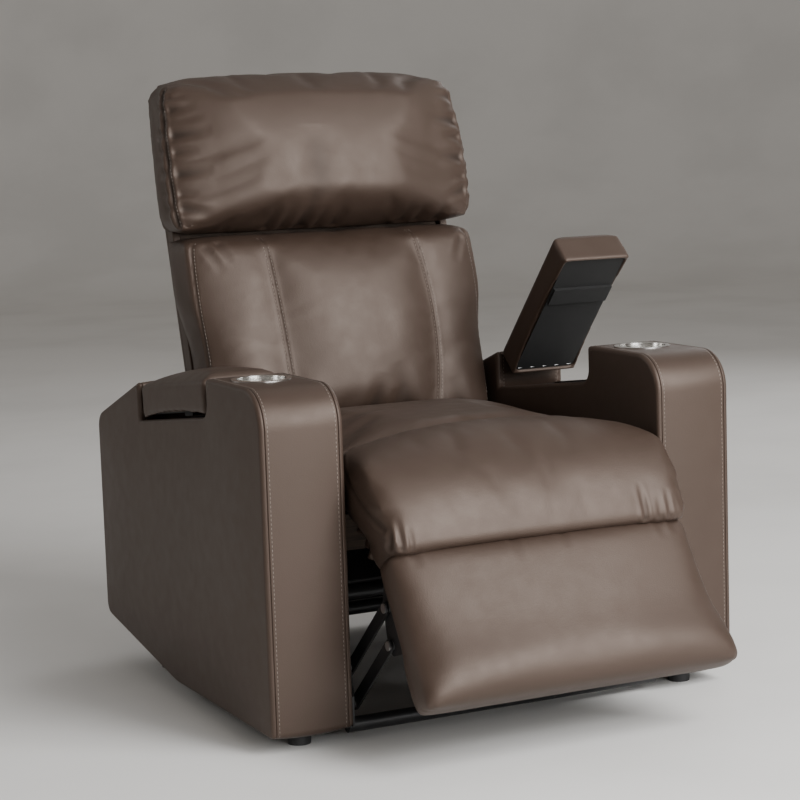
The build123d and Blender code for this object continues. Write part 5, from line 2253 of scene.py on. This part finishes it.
@dataclass
class Studio:
    """Pale floor, soft light and the camera at the photograph's angle."""

    shop: Workshop
    camera_place: tuple[float, float, float] = (-1.7072, -3.4401, 0.9974)
    azimuth: float = 25.841
    elevation: float = -7.259
    roll: float = -1.909
    lens: float = 97.82
    sensor: float = 36.0
    floor_radius: float = 9.0
    floor_bend: float = 3.0
    floor_top: float = 7.0
    floor_points: int = 96
    air: Colour = (1.0, 0.93, 0.86, 1.0)
    air_strength: float = 0.22

    def floor(self) -> None:
        """Large round floor that curves up far from the chair on every side."""
        profile = [(0.0, 0.0), (2.0, 0.0), (5.0, 0.0), (self.floor_radius, 0.0)]
        bend = self.floor_bend
        for angle in np.linspace(0.1, math.pi / 2, 14):
            out = self.floor_radius + bend * math.sin(angle)
            profile.append((out, bend * (1 - math.cos(angle))))
        profile.append((self.floor_radius + bend, self.floor_top))
        turns = np.linspace(0, 2 * math.pi, self.floor_points, False)
        places = [Vector((r * math.cos(a), r * math.sin(a), z)) for r, z in profile for a in turns]
        faces = ring_faces(len(profile), self.floor_points)
        floor = plain_piece("studio_floor", places, faces, self.shop.finishes.floor)

    def area_light(
        self, name: str, place: Vector, aim: Vector, size: tuple[float, float], power: float
    ) -> None:
        """Soft rectangular light.

        Args:
            name: Light name.
            place: Where it hangs.
            aim: Point that it faces.
            size: Width and height in metres.
            power: Watts.
        """
        light = bpy.data.lights.new(name, "AREA")
        light.shape = "RECTANGLE"
        light.size, light.size_y = size
        light.energy = power
        lamp = bpy.data.objects.new(name, light)
        lamp.location = place
        lamp.visible_camera = False
        lamp.rotation_euler = (aim - place).to_track_quat("-Z", "Y").to_euler()
        bpy.context.scene.collection.objects.link(lamp)

    def lights(self) -> None:
        """Key from the front right, a front light and weak lights from above and behind."""
        table = (
            ("key", (1.6, -3.1, 3.1), 0.55, (2.4, 2.4), 205.0),
            ("front", (0.6, -3.3, 1.4), 0.6, (2.2, 1.5), 105.0),
            ("top", (0.3, 0.8, 3.6), 0.55, (3.0, 3.0), 8.0),
            ("left_rear", (-3.4, 2.6, 2.4), 0.55, (2.4, 2.4), 26.0),
            ("right_rear", (3.4, 2.4, 2.4), 0.55, (2.4, 2.4), 34.0),
        )
        for name, place, aim_z, size, power in table:
            self.area_light(name, Vector(place), Vector((0.0, 0.0, aim_z)), size, power)
        world = bpy.data.worlds.new("studio_air")
        world.use_nodes = True
        air = world.node_tree.nodes["Background"]
        air.inputs["Color"].default_value = self.air
        air.inputs["Strength"].default_value = self.air_strength
        bpy.context.scene.world = world

    def camera(self) -> None:
        """Camera fitted to the photograph."""
        az, el, ro = (math.radians(a) for a in (self.azimuth, self.elevation, self.roll))
        ahead = Vector(
            (math.sin(az) * math.cos(el), math.cos(az) * math.cos(el), math.sin(el))
        )
        level = ahead.cross(Vector((0, 0, 1))).normalized()
        above = level.cross(ahead)
        right = level * math.cos(ro) + above * math.sin(ro)
        up = above * math.cos(ro) - level * math.sin(ro)
        data = bpy.data.cameras.new("photo_camera")
        data.lens = self.lens
        data.sensor_width = self.sensor
        camera = bpy.data.objects.new("photo_camera", data)
        turn = Matrix((right, up, -ahead)).transposed().to_4x4()
        camera.matrix_world = Matrix.Translation(self.camera_place) @ turn
        bpy.context.scene.collection.objects.link(camera)
        bpy.context.scene.camera = camera

    def build(self) -> None:
        """Set the stage."""
        self.floor()
        self.lights()
        self.camera()


LID_OPEN = {Side.LEFT: 40.0, Side.RIGHT: 0.0}


def main() -> None:
    """Build the chair piece by piece."""
    logging.basicConfig(level=logging.INFO, format="%(relativeCreated)d %(name)s: %(message)s")
    shop = Workshop()
    CarriedSolids(shop).build()
    for side in Side:
        Arm(shop, side).build()
        word = side.word
        ArmLid(shop, f"{word}_lid_pad", f"{word}_lid", fill=0.85, voxel=4.0, ease=5).build()
        Staples(shop, side, LID_OPEN[side]).build()
    SeatCushion(shop, "seat_cushion", "seat", fill=0.8).build()
    BridgePad(shop, "chaise_pad", "seat", fill=0.8, settle_rounds=6).build()
    for side in Side:
        BridgeGusset(shop, side).build()
    DustCloth(shop).build()
    FootrestPad(shop, "footrest_pad", "footrest", fill=0.9, cap=7.0, settle_rounds=30).build()
    LumbarCushion(shop, "lumbar_cushion", "back", fill=0.75, settle_rounds=6).build()
    HeadCushion(shop, "head_cushion", "back", fill=0.7).build()
    BackCover(shop).build()
    Studio(shop).build()


if __name__ == "__main__":
    main()
